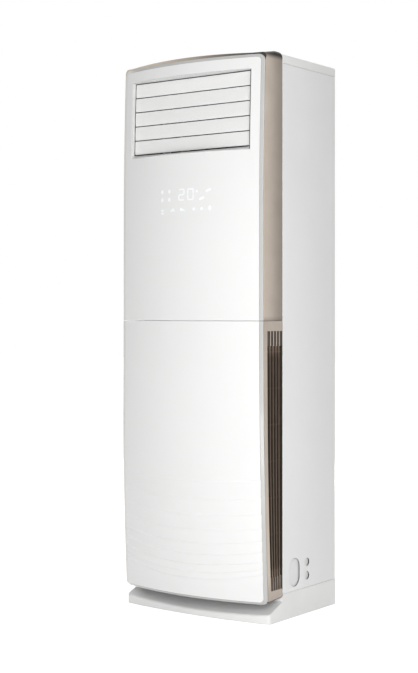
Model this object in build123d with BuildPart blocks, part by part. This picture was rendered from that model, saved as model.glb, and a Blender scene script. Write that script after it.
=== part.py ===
from build123d import *
import math
import os

# Floor standing air conditioner: a tall cabinet on a plinth, with a bowed front.
# Millimetres. The origin is at floor level, in the middle of the footprint.
# +X is to the right seen from the front, +Y is to the rear, +Z is up.

# ---------------------------------------------------------------- driving sizes
WIDTH = 578.0               # over the side panels
DEPTH = 471.0               # from the front of the bow to the wall bracket's face
HEIGHT = 1808.0             # to the crest of the trim
CREST_RISE = 8.0            # the crest stands this far above the cap

PLINTH_HEIGHT = 86.0        # the side panels stand on it
PLINTH_SETBACK = 73.0       # from the front of the bow to the plinth's front corners
PLINTH_BOW = 24.0           # how far the toe bows forward between its corners
PLINTH_CORNER = 13.0        # radius of the toe's corners in plan
TOE_HEIGHT = 30.0           # at the corners
STEP_DEPTH = 77.0           # from the toe's corners back to the step under the panels
STEP_RISE = 31.5            # how far the sloping deck rises to that step
PAN_WALL = 3.0
PAN_LIFT = 1.5              # the pan's rim hangs this far above the floor
DECK_THICKNESS = 2.5
FOOT_RADIUS = 18.0
FOOT_HEIGHT = 12.0
FOOT_INSET_X = 55.0         # from the side faces to the feet's centres
FOOT_FRONT = 103.0          # from the plinth's corners back to the front feet
FOOT_REAR = 45.0            # from the rear face forward to the rear feet

FRONT_DEPTH = 148.0         # from the front of the bow back to the side panels
BRACKET_SHEET = 2.0
SHEET = 1.2                 # painted steel sheet
SIDE_FLANGE = 16.0
CAP_HEIGHT = 29.0
CAP_WALL = 2.0
CAP_ROUND = 7.0

BOW_RADIUS = 880.0          # of the front face in plan
SWEEP_RADIUS = 9800.0       # of the front face's lower part, seen from the side
BEND_HEIGHT = 680.0         # the face is upright above this and sweeps back below it
CROWN_HEIGHT = 1250.0       # and above this it leans gently back
CROWN_RADIUS = 11750.0
SKIN = 3.0                  # white panel skins
RIM_INSET = 7.0             # from the side faces in to the panels' rims
RIM_WIDTH = 11.5            # of the rim that shows around the white skin
RIM_DROP = 1.0              # the rim's face lies this far behind the skin's
RIM_DEPTH = 5.5             # the rim reaches this far behind the skin's face
RIM_TOP_DROP = 24.0         # from the crest of the trim down to the rim's top
RIM_BOTTOM = 59.0
RIM_CORNER = 30.0
RIM_EDGE = 4.0              # the rim's height at the top and bottom edges
SEAM_HEIGHT = 953.0         # between the upper and the lower front panel
SEAM_GAP = 1.2

TRIM_TAPER = 4.4            # the trim's front edges lie this far in from the side faces
TRIM_BULGE = 1.0
TRIM_WALL = 2.2
TRIM_INSET = 2.0            # the trim's front edge lies this far behind the skin's face
TRIM_CORNER = 28.0
TRIM_FRONT_DROP = 12.0      # the hoop's front edge is this much lower than its crest
TRIM_CREST = 70.0           # from the hoop's front edge back to its crest
TRIM_REAR_ROUND = 12.0
GRILLE_BOTTOM = 75.0
GRILLE_DEPTH = 7.0
SLOT_COUNT = 5
SLOT_PITCH = 18.0
SLOT_WIDTH = 11.5
SLOT_REAR = 9.0             # from the grille's rear edge to the last slot's middle
GROOVE_START = 30.0         # from the grille's bottom up to the grooves
GROOVE_STOP = 32.0          # from the panels' seam down to the grooves
SLOT_START = 42.0           # the slots begin this far above the grooves' lower ends
SLOT_STOP = 47.0            # and end this far below their upper ends
GROOVE_DEPTH = 1.2
SLOT_BORDER = 12.0          # of grille left between the slots and the front edge
TIE_COUNT = 7               # cross ties behind the grille's ribs
TIE_PITCH = 115.0
TIE_WIDTH = 4.0
TIE_BITE = 1.5              # how deep the ties reach into the ribs

FIT = 0.2                   # clearance between panels that lie side by side
SEAT = 0.3                  # clearance where curved faces meet
RUN = 0.06                  # radial clearance of a pin in its hole

OUTLET_SIDE = 50.0          # from the side faces in to the outlet
OUTLET_DROP = 66.5          # from the crest of the trim down to the outlet
OUTLET_HEIGHT = 237.5
OUTLET_WALL = 2.0
LOUVRE_COUNT = 5
LOUVRE_FACE = 48.0          # from the front of the bow back to the closed louvres
LOUVRE_THICKNESS = 3.0
LOUVRE_OFFSET = 5.0         # from the louvre's face back to its pivots
LOUVRE_GAP = 1.8
LOUVRE_END_GAP = 2.0
LOUVRE_PIN = 2.5
CRANK_ARM = 12.0
CRANK_PIN = 1.5
CRANK_SHEET = 2.5
LINK_SHEET = 2.5
LINK_WIDTH = 7.0
VANE_COUNT = 6
VANE_SIDE = 46.0            # from the outlet's side walls in to the first and last vane
VANE_CHORD = 50.0
VANE_THICKNESS = 2.0
VANE_SETBACK = 65.0         # from the louvres' pivots back to the vanes' pivots
VANE_GAP = 3.0
VANE_PIN = 2.0
DUCT_SPLIT = 29.0           # the outlet frame ends this far behind the louvres' pivots
DUCT_REAR = 27.0            # the duct ends this far behind the cabinet's front
MOTOR_RADIUS = 10.5
MOTOR_LENGTH = 16.0
MOTOR_BOSS = 2.5
MOTOR_CLEARANCE = 3.0       # between the louvre motor and the panel's rim
STUB = 8.0                  # how far a driven pin reaches into its motor

DISPLAY_LEFT = -112.0
DISPLAY_RIGHT = 92.0
DISPLAY_DROP = 116.0        # from the outlet down to the display
DISPLAY_HEIGHT = 96.0
DISPLAY_DEPTH = 27.0
CELL_DROP = 30.0            # from the light box's top down to the middle of its upper cells
CELL_WIDTH = 38.0
CELL_HEIGHT = 40.0
KEY_LIFT = 16.0             # from the light box's bottom up to the touch keys' cells
KEY_SIZE = 16.0
BOARD = 1.6

BLOWER_DECK_HEIGHT = 776.0
FAN_X = -25.0
FAN_FLOOR_GAP = 11.5        # from the plinth up to the scroll
FAN_RADIUS = 165.0
BLADE_DEPTH = 27.0
FAN_FRONT_GAP = 4.0         # from the bell mouth back to the wheel
FAN_REAR_GAP = 26.0         # from the wheel back to the scroll's rear wall
FAN_BLADES = 40
FAN_DISC = 3.0
SCROLL_FRONT = 90.0         # from the cabinet's front back to the scroll's front plate
SCROLL_REAR = 81.0          # from the scroll back to the cabinet's rear, for the motor
SCROLL_GAP = 20.0           # from the wheel out to the volute's first radius
SCROLL_STEP = 16.0          # each quarter turn adds this much
SCROLL_SHEET = 1.5
NECK_LEFT = 60.0            # from the fan's axis to the neck's inner wall
BELL_INSET = 8.0            # the bell mouth is this much narrower than the wheel's inlet
BELL_FLARE = 14.0
BELL_LENGTH = 16.0
SHAFT_RADIUS = 6.0
HUB_RADIUS = 30.0
HUB_LENGTH = 30.0
FAN_MOTOR_RADIUS = 60.0
FAN_MOTOR_LENGTH = 50.0
FAN_FLANGE_RADIUS = 76.0

COIL_SIDE = 54.0            # from the side faces in to the fin block
COIL_HEAD_ROOM = 88.0       # what the coil's length leaves free between the deck and the outlet
COIL_THICKNESS = 44.0
COIL_FOOT = 43.6            # from the cabinet's front back to the coil's foot
COIL_HEAD = 79.6            # from the cabinet's rear forward to the coil's head
COIL_LIFT = 43.5            # from the deck up to the coil's foot
END_PLATE = 2.0
BEND_PITCH = 40.0
BEND_RADIUS = 10.5
BEND_TUBE = 4.0
TRAY_INSET = 3.0            # the tray ends this far inside the coil's end plates
TRAY_SETBACK = 7.5          # from the cabinet's front back to the tray
TRAY_DEPTH = 78.0
TRAY_HEIGHT = 28.0
TRAY_WALL = 2.0
PIPE_SIDE = 23.0            # from the right side face in to the pipes' run
LIQUID_RADIUS = 4.76
GAS_RADIUS = 7.94
DRAIN_RADIUS = 8.0
TUBE_WALL = 1.0
DRAIN_SETBACK = 35.5        # from the cabinet's front back to each pipe
LIQUID_SETBACK = 65.5
GAS_SETBACK = 95.5
LIQUID_OFFSET = 12.4        # from the coil's middle line to where each pipe leaves it
GAS_OFFSET = 5.0
UNION_TOP = 170.0
UNION_LENGTH = 30.0
LIQUID_UNION = 7.94
GAS_UNION = 11.1
PIPE_BEND = 16.0
PIPE_FIT = 0.1
CLIP_HEIGHTS = (230.0, 640.0)
CLIP_WALL = 4.0
CLIP_WIDTH = 12.0

HOLE_SETBACK = 144.0        # from the cabinet's front back to the round knock-outs
HOLE_HEIGHTS = (124.0, 168.0)
HOLE_RADIUS = 13.5
PIPE_HOLE_SETBACK = 68.8    # from the cabinet's front back to the obround knock-out
PIPE_HOLE_Z = 145.0
PIPE_HOLE_WIDTH = 62.0
PIPE_HOLE_HEIGHT = 92.0
CAP_RECESS = 4.0

BOX_LEFT = -150.0           # the electric box
BOX_RIGHT = 130.0
BOX_LIFT = 209.0            # from the blower deck up to the electric box
BOX_HEIGHT = 280.0
BOX_DEPTH = 61.0
STANDOFF = 4.5
STANDOFF_RADIUS = 3.0

# ---------------------------------------------------------------- derived places
HALF = WIDTH / 2
FRONT_Y = -DEPTH / 2
BACK_Y = DEPTH / 2
CABINET_BACK = BACK_Y - BRACKET_SHEET
CABINET_FRONT = FRONT_Y + FRONT_DEPTH
CABINET_DEPTH = CABINET_BACK - CABINET_FRONT
CAP_TOP = HEIGHT - CREST_RISE
PANEL_TOP = CAP_TOP - CAP_HEIGHT
INNER_HALF = HALF - SHEET
PLINTH_FRONT = FRONT_Y + PLINTH_SETBACK
STEP_Y = PLINTH_FRONT + STEP_DEPTH
SLOPE = STEP_RISE / STEP_DEPTH
RIM_HALF = HALF - RIM_INSET
RIM_TOP = HEIGHT - RIM_TOP_DROP
SKIN_HALF = RIM_HALF - RIM_WIDTH
SKIN_TOP = RIM_TOP - RIM_EDGE
SKIN_BOTTOM = RIM_BOTTOM + RIM_EDGE
SKIN_CORNER = RIM_CORNER - RIM_EDGE
TRIM_REAR = CABINET_FRONT - SEAT
TRIM_FRONT_HALF = HALF - TRIM_TAPER
GROOVE_LOW = GRILLE_BOTTOM + GROOVE_START
GROOVE_HIGH = SEAM_HEIGHT - GROOVE_STOP
SLOT_LOW = GROOVE_LOW + SLOT_START
SLOT_HIGH = GROOVE_HIGH - SLOT_STOP
SLOT_MIDDLE = (SLOT_LOW + SLOT_HIGH) / 2
TIE_HEIGHTS = [SLOT_MIDDLE + TIE_PITCH * (i - (TIE_COUNT - 1) / 2) for i in range(TIE_COUNT)]
OUTLET_HALF = HALF - OUTLET_SIDE
OUTLET_HIGH = HEIGHT - OUTLET_DROP
OUTLET_LOW = OUTLET_HIGH - OUTLET_HEIGHT
RIM_LEDGE = SKIN_HALF - OUTLET_HALF - OUTLET_WALL - MOTOR_BOSS - MOTOR_LENGTH - MOTOR_CLEARANCE
LOUVRE_Y = FRONT_Y + LOUVRE_FACE + LOUVRE_OFFSET
LOUVRE_PITCH = OUTLET_HEIGHT / LOUVRE_COUNT
LOUVRE_HEIGHTS = [OUTLET_LOW + LOUVRE_PITCH * (i + 0.5) for i in range(LOUVRE_COUNT)]
FRAME_REAR = LOUVRE_Y + DUCT_SPLIT
LOUVRE_LEANS = [math.asin((z - CROWN_HEIGHT) / CROWN_RADIUS) for z in LOUVRE_HEIGHTS]
LOUVRE_PLACES = [
    (LOUVRE_Y + CROWN_RADIUS * (1 - math.cos(lean)), z)
    for lean, z in zip(LOUVRE_LEANS, LOUVRE_HEIGHTS)
]
OUTLET_MIDDLE = (OUTLET_LOW + OUTLET_HIGH) / 2
VANE_PITCH = 2 * (OUTLET_HALF - VANE_SIDE) / (VANE_COUNT - 1)
VANE_Y = LOUVRE_Y + VANE_SETBACK
VANE_PLACES = [VANE_PITCH * (i - (VANE_COUNT - 1) / 2) for i in range(VANE_COUNT)]
DUCT_END = CABINET_FRONT + DUCT_REAR
DISPLAY_HIGH = OUTLET_LOW - DISPLAY_DROP
DISPLAY_LOW = DISPLAY_HIGH - DISPLAY_HEIGHT
BAFFLE_FRONT = CABINET_FRONT - SHEET
SCROLL_Y = CABINET_FRONT + SCROLL_FRONT
SCROLL_WIDTH = CABINET_DEPTH - SCROLL_FRONT - SCROLL_REAR
SCROLL_END = SCROLL_Y + SCROLL_WIDTH
SCROLL_START = FAN_RADIUS + SCROLL_GAP
FAN_Z = PLINTH_HEIGHT + FAN_FLOOR_GAP + SCROLL_SHEET + SCROLL_STEP + SCROLL_START
FAN_INLET_RADIUS = FAN_RADIUS - BLADE_DEPTH
BELL_RADIUS = FAN_INLET_RADIUS - BELL_INSET
FAN_FRONT = SCROLL_Y + BELL_LENGTH + FAN_FRONT_GAP
FAN_REAR = SCROLL_END - FAN_REAR_GAP
FAN_WIDTH = FAN_REAR - FAN_FRONT
DECK_TOP = BLOWER_DECK_HEIGHT + SHEET
COIL_HALF = HALF - COIL_SIDE
COIL_FACE = COIL_HALF + END_PLATE
COIL_HEIGHT = OUTLET_LOW - BLOWER_DECK_HEIGHT - COIL_HEAD_ROOM
COIL_LEAN = CABINET_DEPTH - COIL_FOOT - COIL_HEAD
COIL_TILT = math.degrees(math.asin(COIL_LEAN / COIL_HEIGHT))
COIL_Y = CABINET_FRONT + COIL_FOOT + COIL_LEAN / 2
COIL_Z = DECK_TOP + COIL_LIFT + math.sqrt(COIL_HEIGHT**2 - COIL_LEAN**2) / 2
TRAY_HALF = COIL_HALF - TRAY_INSET
TRAY_FRONT = CABINET_FRONT + TRAY_SETBACK
TRAY_REAR = TRAY_FRONT + TRAY_DEPTH
PIPE_X = HALF - PIPE_SIDE
DRAIN_Y = CABINET_FRONT + DRAIN_SETBACK
LIQUID_Y = CABINET_FRONT + LIQUID_SETBACK
GAS_Y = CABINET_FRONT + GAS_SETBACK
HOLE_Y = CABINET_FRONT + HOLE_SETBACK
PIPE_HOLE_Y = CABINET_FRONT + PIPE_HOLE_SETBACK
SPOUT_Z = DECK_TOP + TRAY_WALL + DRAIN_RADIUS + 0.6
BOX_FRONT = BAFFLE_FRONT - BOX_DEPTH
BOX_LOW = BLOWER_DECK_HEIGHT + BOX_LIFT
BOX_HIGH = BOX_LOW + BOX_HEIGHT

os.makedirs("parts", exist_ok=True)


def save(builder, name):
    """Labels a finished piece and writes it under its own name."""
    builder.part.label = name
    export_step(builder.part, f"parts/{name}.step")


def block(x, y, z, mode=Mode.ADD):
    """A rectangular block between pairs of x, y and z."""
    x = sorted(x)
    middle = ((x[0] + x[1]) / 2, (y[0] + y[1]) / 2, (z[0] + z[1]) / 2)
    with Locations(middle):
        Box(x[1] - x[0], y[1] - y[0], z[1] - z[0], mode=mode)


def front_solid(inset):
    """All that lies behind the bowed front face, set back by an inset."""
    radius = BOW_RADIUS - inset
    centre_y = FRONT_Y + BOW_RADIUS
    reach = HALF + 20
    edge_y = centre_y - math.sqrt(radius**2 - reach**2)
    back = CABINET_FRONT
    swing = math.degrees(math.asin(BEND_HEIGHT / (SWEEP_RADIUS - DEPTH)))
    nod = math.degrees(math.asin((HEIGHT + 20 - CROWN_HEIGHT) / (CROWN_RADIUS - DEPTH)))
    with BuildSketch(Plane.XY.offset(BEND_HEIGHT)) as plan:
        with BuildLine():
            ThreePointArc((-reach, edge_y), (0, centre_y - radius), (reach, edge_y))
            Polyline((reach, edge_y), (reach, back), (-reach, back), (-reach, edge_y))
        make_face()
    with BuildPart() as solid:
        extrude(plan.sketch, amount=CROWN_HEIGHT - BEND_HEIGHT)
        hinge = Axis((0, FRONT_Y + SWEEP_RADIUS, BEND_HEIGHT), (1, 0, 0))
        revolve(plan.sketch, axis=hinge, revolution_arc=swing)
        crown = plan.sketch.moved(Location((0, 0, CROWN_HEIGHT - BEND_HEIGHT)))
        hinge = Axis((0, FRONT_Y + CROWN_RADIUS, CROWN_HEIGHT), (-1, 0, 0))
        revolve(crown, axis=hinge, revolution_arc=nod)
    return solid.part


def front_outline(half, low, high, low_round=0.0, high_round=0.0):
    """A prism through the front whose outline is a rectangle with rounded corners."""
    with BuildSketch(Plane.XZ) as outline:
        with Locations((0, (low + high) / 2)):
            Rectangle(2 * half, high - low)
        if low_round:
            fillet(outline.vertices().sort_by(Axis.Y)[:2], low_round)
        if high_round:
            fillet(outline.vertices().sort_by(Axis.Y)[-2:], high_round)
    with BuildPart() as prism:
        extrude(outline.sketch, amount=DEPTH)
    return prism.part


def trim_solid(inset, low, high):
    """The space inside the two side trims, whose outer faces bulge a little."""
    front = FRONT_Y + LOUVRE_FACE
    ahead = FRONT_Y
    front_x = TRIM_FRONT_HALF - inset
    rear_x = HALF - inset
    middle_x = (front_x + rear_x) / 2 + TRIM_BULGE
    middle_y = (front + TRIM_REAR) / 2
    with BuildSketch(Plane.XY.offset(low)) as plan:
        with BuildLine():
            ThreePointArc((front_x, front), (middle_x, middle_y), (rear_x, TRIM_REAR))
            Line((rear_x, TRIM_REAR), (-rear_x, TRIM_REAR))
            ThreePointArc((-rear_x, TRIM_REAR), (-middle_x, middle_y), (-front_x, front))
            Polyline((-front_x, front), (-front_x, ahead), (front_x, ahead), (front_x, front))
        make_face()
        if inset:
            with Locations((0, TRIM_REAR + inset / 2)):
                Rectangle(2 * rear_x, inset)
    with BuildPart() as solid:
        extrude(plan.sketch, amount=high - low)
    return solid.part


def plinth_solid(inset):
    """The plinth's outline in plan, drawn in by an inset, as a full-height block."""
    half = HALF - inset
    corner_y = PLINTH_FRONT + inset
    with BuildSketch(Plane.XY) as plan:
        with BuildLine():
            ThreePointArc((-half, corner_y), (0, corner_y - PLINTH_BOW), (half, corner_y))
            back = CABINET_BACK - inset
            Polyline((half, corner_y), (half, back), (-half, back), (-half, corner_y))
        make_face()
        fillet(plan.vertices().sort_by(Axis.Y)[:2], PLINTH_CORNER - inset)
    with BuildPart() as solid:
        extrude(plan.sketch, amount=PLINTH_HEIGHT)
    return solid.part


def below_slope(drop):
    """All that lies a drop or more under the plinth's sloping front and its flat top."""
    start = PLINTH_FRONT - PLINTH_BOW - 10
    start_z = TOE_HEIGHT + SLOPE * (start - PLINTH_FRONT)
    step = STEP_Y + drop
    step_z = TOE_HEIGHT + SLOPE * (step - PLINTH_FRONT)
    end = CABINET_BACK + 10
    with BuildSketch(Plane.YZ.offset(-HALF - 10)) as side:
        with BuildLine():
            Polyline(
                (start, -1), (start, start_z - drop), (step, step_z - drop),
                (step, PLINTH_HEIGHT - drop), (end, PLINTH_HEIGHT - drop), (end, -1),
                close=True,
            )
        make_face()
    with BuildPart() as solid:
        extrude(side.sketch, amount=WIDTH + 20)
    return solid.part


# ---------------------------------------------------------------- plinth
FEET = [
    (x, y)
    for x in (-HALF + FOOT_INSET_X, HALF - FOOT_INSET_X)
    for y in (PLINTH_FRONT + FOOT_FRONT, CABINET_BACK - FOOT_REAR)
]

with BuildPart() as deck_rebate:
    add(plinth_solid(PAN_WALL))
    add(below_slope(DECK_THICKNESS), mode=Mode.SUBTRACT)
    block((-HALF, HALF), (STEP_Y, BACK_Y), (0, HEIGHT), mode=Mode.SUBTRACT)

with BuildPart() as pan_hollow:
    add(plinth_solid(PAN_WALL))
    add(below_slope(DECK_THICKNESS + PAN_WALL), mode=Mode.INTERSECT)

with BuildPart() as base_pan:
    add(plinth_solid(0))
    add(below_slope(0), mode=Mode.INTERSECT)
    add(deck_rebate.part, mode=Mode.SUBTRACT)
    add(pan_hollow.part, mode=Mode.SUBTRACT)
    block((-HALF, HALF), (FRONT_Y, BACK_Y), (-1, PAN_LIFT), mode=Mode.SUBTRACT)
    with BuildSketch(Plane.XY.offset(FOOT_HEIGHT)):
        with Locations(*FEET):
            Circle(FOOT_RADIUS)
    extrude(amount=PLINTH_HEIGHT - PAN_WALL - FOOT_HEIGHT)
save(base_pan, "base_pan")

with BuildPart() as plinth_deck:
    add(plinth_solid(PAN_WALL + FIT))
    add(below_slope(0), mode=Mode.INTERSECT)
    add(below_slope(DECK_THICKNESS), mode=Mode.SUBTRACT)
    block((-HALF, HALF), (STEP_Y - FIT, BACK_Y), (0, HEIGHT), mode=Mode.SUBTRACT)
save(plinth_deck, "plinth_deck")

with BuildPart() as levelling_feet:
    with BuildSketch():
        with Locations(*FEET):
            Circle(FOOT_RADIUS)
    extrude(amount=FOOT_HEIGHT)
    chamfer(levelling_feet.edges().group_by(Axis.Z)[0], 1.5)
save(levelling_feet, "levelling_feet")

# ---------------------------------------------------------------- cabinet
for side, name in ((-1, "side_panel_left"), (1, "side_panel_right")):
    with BuildPart() as side_panel:
        with BuildSketch(Plane.XY.offset(PLINTH_HEIGHT)) as folded:
            with BuildLine():
                Polyline(
                    (side * HALF, CABINET_FRONT), (side * HALF, CABINET_BACK),
                    (side * INNER_HALF, CABINET_BACK),
                    (side * INNER_HALF, CABINET_BACK - SHEET),
                    (side * (HALF - SIDE_FLANGE), CABINET_BACK - SHEET),
                    (side * (HALF - SIDE_FLANGE), CABINET_BACK - 2 * SHEET),
                    (side * INNER_HALF, CABINET_BACK - 2 * SHEET),
                    (side * INNER_HALF, CABINET_FRONT + SHEET),
                    (side * (HALF - SIDE_FLANGE), CABINET_FRONT + SHEET),
                    (side * (HALF - SIDE_FLANGE), CABINET_FRONT),
                    close=True,
                )
            make_face()
        extrude(amount=PANEL_TOP - PLINTH_HEIGHT)
        with BuildSketch(Plane.YZ.offset(side * (HALF + 1))):
            with Locations((PIPE_HOLE_Y, PIPE_HOLE_Z)):
                SlotOverall(PIPE_HOLE_HEIGHT, PIPE_HOLE_WIDTH, rotation=90)
            with Locations(*[(HOLE_Y, z) for z in HOLE_HEIGHTS]):
                Circle(HOLE_RADIUS)
        extrude(amount=-side * (SHEET + 2), mode=Mode.SUBTRACT)
    save(side_panel, name)

SCREW_RADIUS = 2.1
SCREW_HEAD = 4.0
SCREW_ROWS = 5
SCREW_LOW = PLINTH_HEIGHT + 24.0
SCREW_PITCH = (PANEL_TOP - 21.0 - SCREW_LOW) / (SCREW_ROWS - 1)
REAR_SCREWS = [
    (x, SCREW_LOW + SCREW_PITCH * row)
    for x in (-HALF + SIDE_FLANGE / 2, HALF - SIDE_FLANGE / 2)
    for row in range(SCREW_ROWS)
]
BRACKET_HALF = 110.0
BRACKET_HEIGHT = 40.0
BRACKET_LOW = CAP_TOP - 60.0 - BRACKET_HEIGHT
BRACKET_HOLE = 3.25
BRACKET_SPACING = 160.0
BRACKET_PLACES = [
    (x, BRACKET_LOW + BRACKET_HEIGHT / 2) for x in (-BRACKET_SPACING / 2, BRACKET_SPACING / 2)
]

with BuildPart() as rear_panel:
    low, high = PLINTH_HEIGHT, PANEL_TOP
    block((FIT - INNER_HALF, INNER_HALF - FIT), (CABINET_BACK - SHEET, CABINET_BACK), (low, high))
    with BuildSketch(Plane.XZ.offset(-CABINET_BACK - 1)):
        with Locations(*BRACKET_PLACES):
            Circle(BRACKET_HOLE)
        with Locations(*REAR_SCREWS):
            Circle(SCREW_RADIUS)
    extrude(amount=SHEET + 2, mode=Mode.SUBTRACT)
save(rear_panel, "rear_panel")

with BuildPart() as wall_bracket:
    with BuildSketch(Plane.XZ.offset(-BACK_Y)) as plate:
        with Locations((0, BRACKET_LOW + BRACKET_HEIGHT / 2)):
            RectangleRounded(2 * BRACKET_HALF, BRACKET_HEIGHT, 6)
        with Locations(*BRACKET_PLACES):
            Circle(BRACKET_HOLE, mode=Mode.SUBTRACT)
    extrude(amount=BRACKET_SHEET)
save(wall_bracket, "wall_bracket")

with BuildPart() as cabinet_screws:
    with BuildSketch(Plane.XZ.offset(-CABINET_BACK)):
        with Locations(*REAR_SCREWS):
            Circle(SCREW_HEAD)
    extrude(amount=-BRACKET_SHEET)
    fillet(cabinet_screws.edges().group_by(Axis.Y)[-1], 1.2)
    with BuildSketch(Plane.XZ.offset(-CABINET_BACK)):
        with Locations(*REAR_SCREWS):
            Circle(SCREW_RADIUS - FIT)
    extrude(amount=SHEET)
save(cabinet_screws, "cabinet_screws")

with BuildPart() as cap_hollow:
    inner = HALF - CAP_WALL
    inside_y = (CABINET_FRONT + CAP_WALL, CABINET_BACK - CAP_WALL)
    block((-inner, inner), inside_y, (PANEL_TOP - 1, CAP_TOP - CAP_WALL))
    fillet(cap_hollow.edges().group_by(Axis.Z)[-1], CAP_ROUND - CAP_WALL)

with BuildPart() as top_cover:
    block((-HALF, HALF), (CABINET_FRONT, CABINET_BACK), (PANEL_TOP, CAP_TOP))
    fillet(top_cover.edges().group_by(Axis.Z)[-1], CAP_ROUND)
    add(cap_hollow.part, mode=Mode.SUBTRACT)
save(top_cover, "top_cover")

with BuildPart() as pipe_covers:
    for side in (-1, 1):
        with BuildSketch(Plane.YZ.offset(side * (HALF - CAP_RECESS))):
            with Locations((PIPE_HOLE_Y, PIPE_HOLE_Z)):
                SlotOverall(PIPE_HOLE_HEIGHT + 8, PIPE_HOLE_WIDTH + 8, rotation=90)
        extrude(amount=-side * 1.5)
        with BuildSketch(Plane.YZ.offset(side * (INNER_HALF))):
            with Locations((PIPE_HOLE_Y, PIPE_HOLE_Z)):
                SlotOverall(PIPE_HOLE_HEIGHT + 8, PIPE_HOLE_WIDTH + 8, rotation=90)
                SlotOverall(PIPE_HOLE_HEIGHT, PIPE_HOLE_WIDTH, rotation=90, mode=Mode.SUBTRACT)
        extrude(amount=-side * (CAP_RECESS - SHEET))
save(pipe_covers, "pipe_covers")

with BuildPart() as hole_caps:
    for side in (-1, 1):
        places = [(HOLE_Y, z) for z in HOLE_HEIGHTS]
        with BuildSketch(Plane.YZ.offset(side * (HALF - CAP_RECESS))):
            with Locations(*places):
                Circle(HOLE_RADIUS + 3)
        extrude(amount=-side * 1.5)
        with BuildSketch(Plane.YZ.offset(side * (INNER_HALF))):
            with Locations(*places):
                Circle(HOLE_RADIUS + 3)
            with Locations(*places):
                Circle(HOLE_RADIUS, mode=Mode.SUBTRACT)
        extrude(amount=-side * (CAP_RECESS - SHEET))
save(hole_caps, "hole_caps")

NECK_RIGHT = SCROLL_START + 2 * SCROLL_STEP + SCROLL_STEP
DECK_FRONT = CABINET_FRONT + SHEET
DECK_REAR = CABINET_BACK - 2 * SHEET

with BuildPart() as blower_deck:
    sheet_z = (BLOWER_DECK_HEIGHT, DECK_TOP)
    block((-INNER_HALF, INNER_HALF), (DECK_FRONT, DECK_REAR), sheet_z)
    neck_x = (FAN_X + NECK_LEFT, FAN_X + NECK_RIGHT)
    tool_z = (BLOWER_DECK_HEIGHT - 1, DECK_TOP + 1)
    block(neck_x, (SCROLL_Y, SCROLL_END), tool_z, mode=Mode.SUBTRACT)
    slot_x = (PIPE_X - 13, PIPE_X + 13)
    block(slot_x, (DRAIN_Y - 14, GAS_Y + 14), tool_z, mode=Mode.SUBTRACT)
    fold_z = (BLOWER_DECK_HEIGHT - 16, BLOWER_DECK_HEIGHT)
    block((-INNER_HALF, INNER_HALF), (DECK_FRONT, DECK_FRONT + SHEET), fold_z)
save(blower_deck, "blower_deck")

with BuildPart() as front_baffle:
    baffle_half = HALF - SIDE_FLANGE + 2
    baffle_high = OUTLET_LOW - 2 * OUTLET_WALL - 22
    baffle_low = BLOWER_DECK_HEIGHT - 16
    block((-baffle_half, baffle_half), (BAFFLE_FRONT, CABINET_FRONT), (baffle_low, baffle_high))
save(front_baffle, "front_baffle")

# ---------------------------------------------------------------- front panels
FACE = front_solid(0)
FACE_BACK = front_solid(SKIN)
RIM_FACE = front_solid(RIM_DROP)
RIM_BACK = front_solid(RIM_DEPTH)
LEDGE_FACE = front_solid(SKIN + FIT)
TRIM_FACE = front_solid(TRIM_INSET)
upper_low = SEAM_HEIGHT + SEAM_GAP / 2
lower_high = SEAM_HEIGHT - SEAM_GAP / 2


def panel_skin(low, high, low_round, high_round):
    """A white skin of even thickness on the bowed face."""
    with BuildPart() as skin:
        add(FACE)
        add(FACE_BACK, mode=Mode.SUBTRACT)
        outline = front_outline(SKIN_HALF, low, high, low_round, high_round)
        add(outline, mode=Mode.INTERSECT)
    return skin.part


def panel_rim(low, high, low_round, high_round, low_edge, high_edge):
    """The rim around a skin, with the ledge behind it that the skin is bonded to."""
    outer = front_outline(RIM_HALF, low, high, low_round, high_round)
    seat = front_outline(
        SKIN_HALF + FIT, low + low_edge, high - high_edge,
        max(low_round - RIM_EDGE, 0), max(high_round - RIM_EDGE, 0),
    )
    window = front_outline(SKIN_HALF - RIM_LEDGE, low + RIM_LEDGE, high - RIM_LEDGE)
    with BuildPart() as pocket:
        add(seat)
        add(LEDGE_FACE, mode=Mode.SUBTRACT)
    with BuildPart() as rim:
        add(RIM_FACE)
        add(RIM_BACK, mode=Mode.SUBTRACT)
        add(outer, mode=Mode.INTERSECT)
        add(pocket.part, mode=Mode.SUBTRACT)
        add(window, mode=Mode.SUBTRACT)
    return rim.part


with BuildPart() as upper_front_panel:
    add(panel_skin(upper_low, SKIN_TOP, 0, SKIN_CORNER))
    cut_half = OUTLET_HALF + OUTLET_WALL + FIT
    cut_low = OUTLET_LOW - OUTLET_WALL - FIT
    cut_high = OUTLET_HIGH + OUTLET_WALL + FIT
    add(front_outline(cut_half, cut_low, cut_high), mode=Mode.SUBTRACT)
save(upper_front_panel, "upper_front_panel")

with BuildPart() as upper_panel_frame:
    add(panel_rim(upper_low, RIM_TOP, 0, RIM_CORNER, -1, RIM_EDGE - FIT))
save(upper_panel_frame, "upper_panel_frame")

with BuildPart() as lower_front_panel:
    add(panel_skin(SKIN_BOTTOM, lower_high, SKIN_CORNER, 0))
save(lower_front_panel, "lower_front_panel")

with BuildPart() as lower_panel_frame:
    add(panel_rim(RIM_BOTTOM, lower_high, RIM_CORNER, 0, RIM_EDGE - FIT, -1))
save(lower_panel_frame, "lower_panel_frame")

# ---------------------------------------------------------------- side trims
with BuildPart() as hoop_hole:
    add(trim_solid(TRIM_WALL, upper_low - 1, HEIGHT))
    top = RIM_TOP + FIT
    hole = front_outline(HALF - TRIM_WALL, upper_low - 1, top, 0, TRIM_CORNER - TRIM_WALL)
    add(hole, mode=Mode.INTERSECT)

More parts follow.
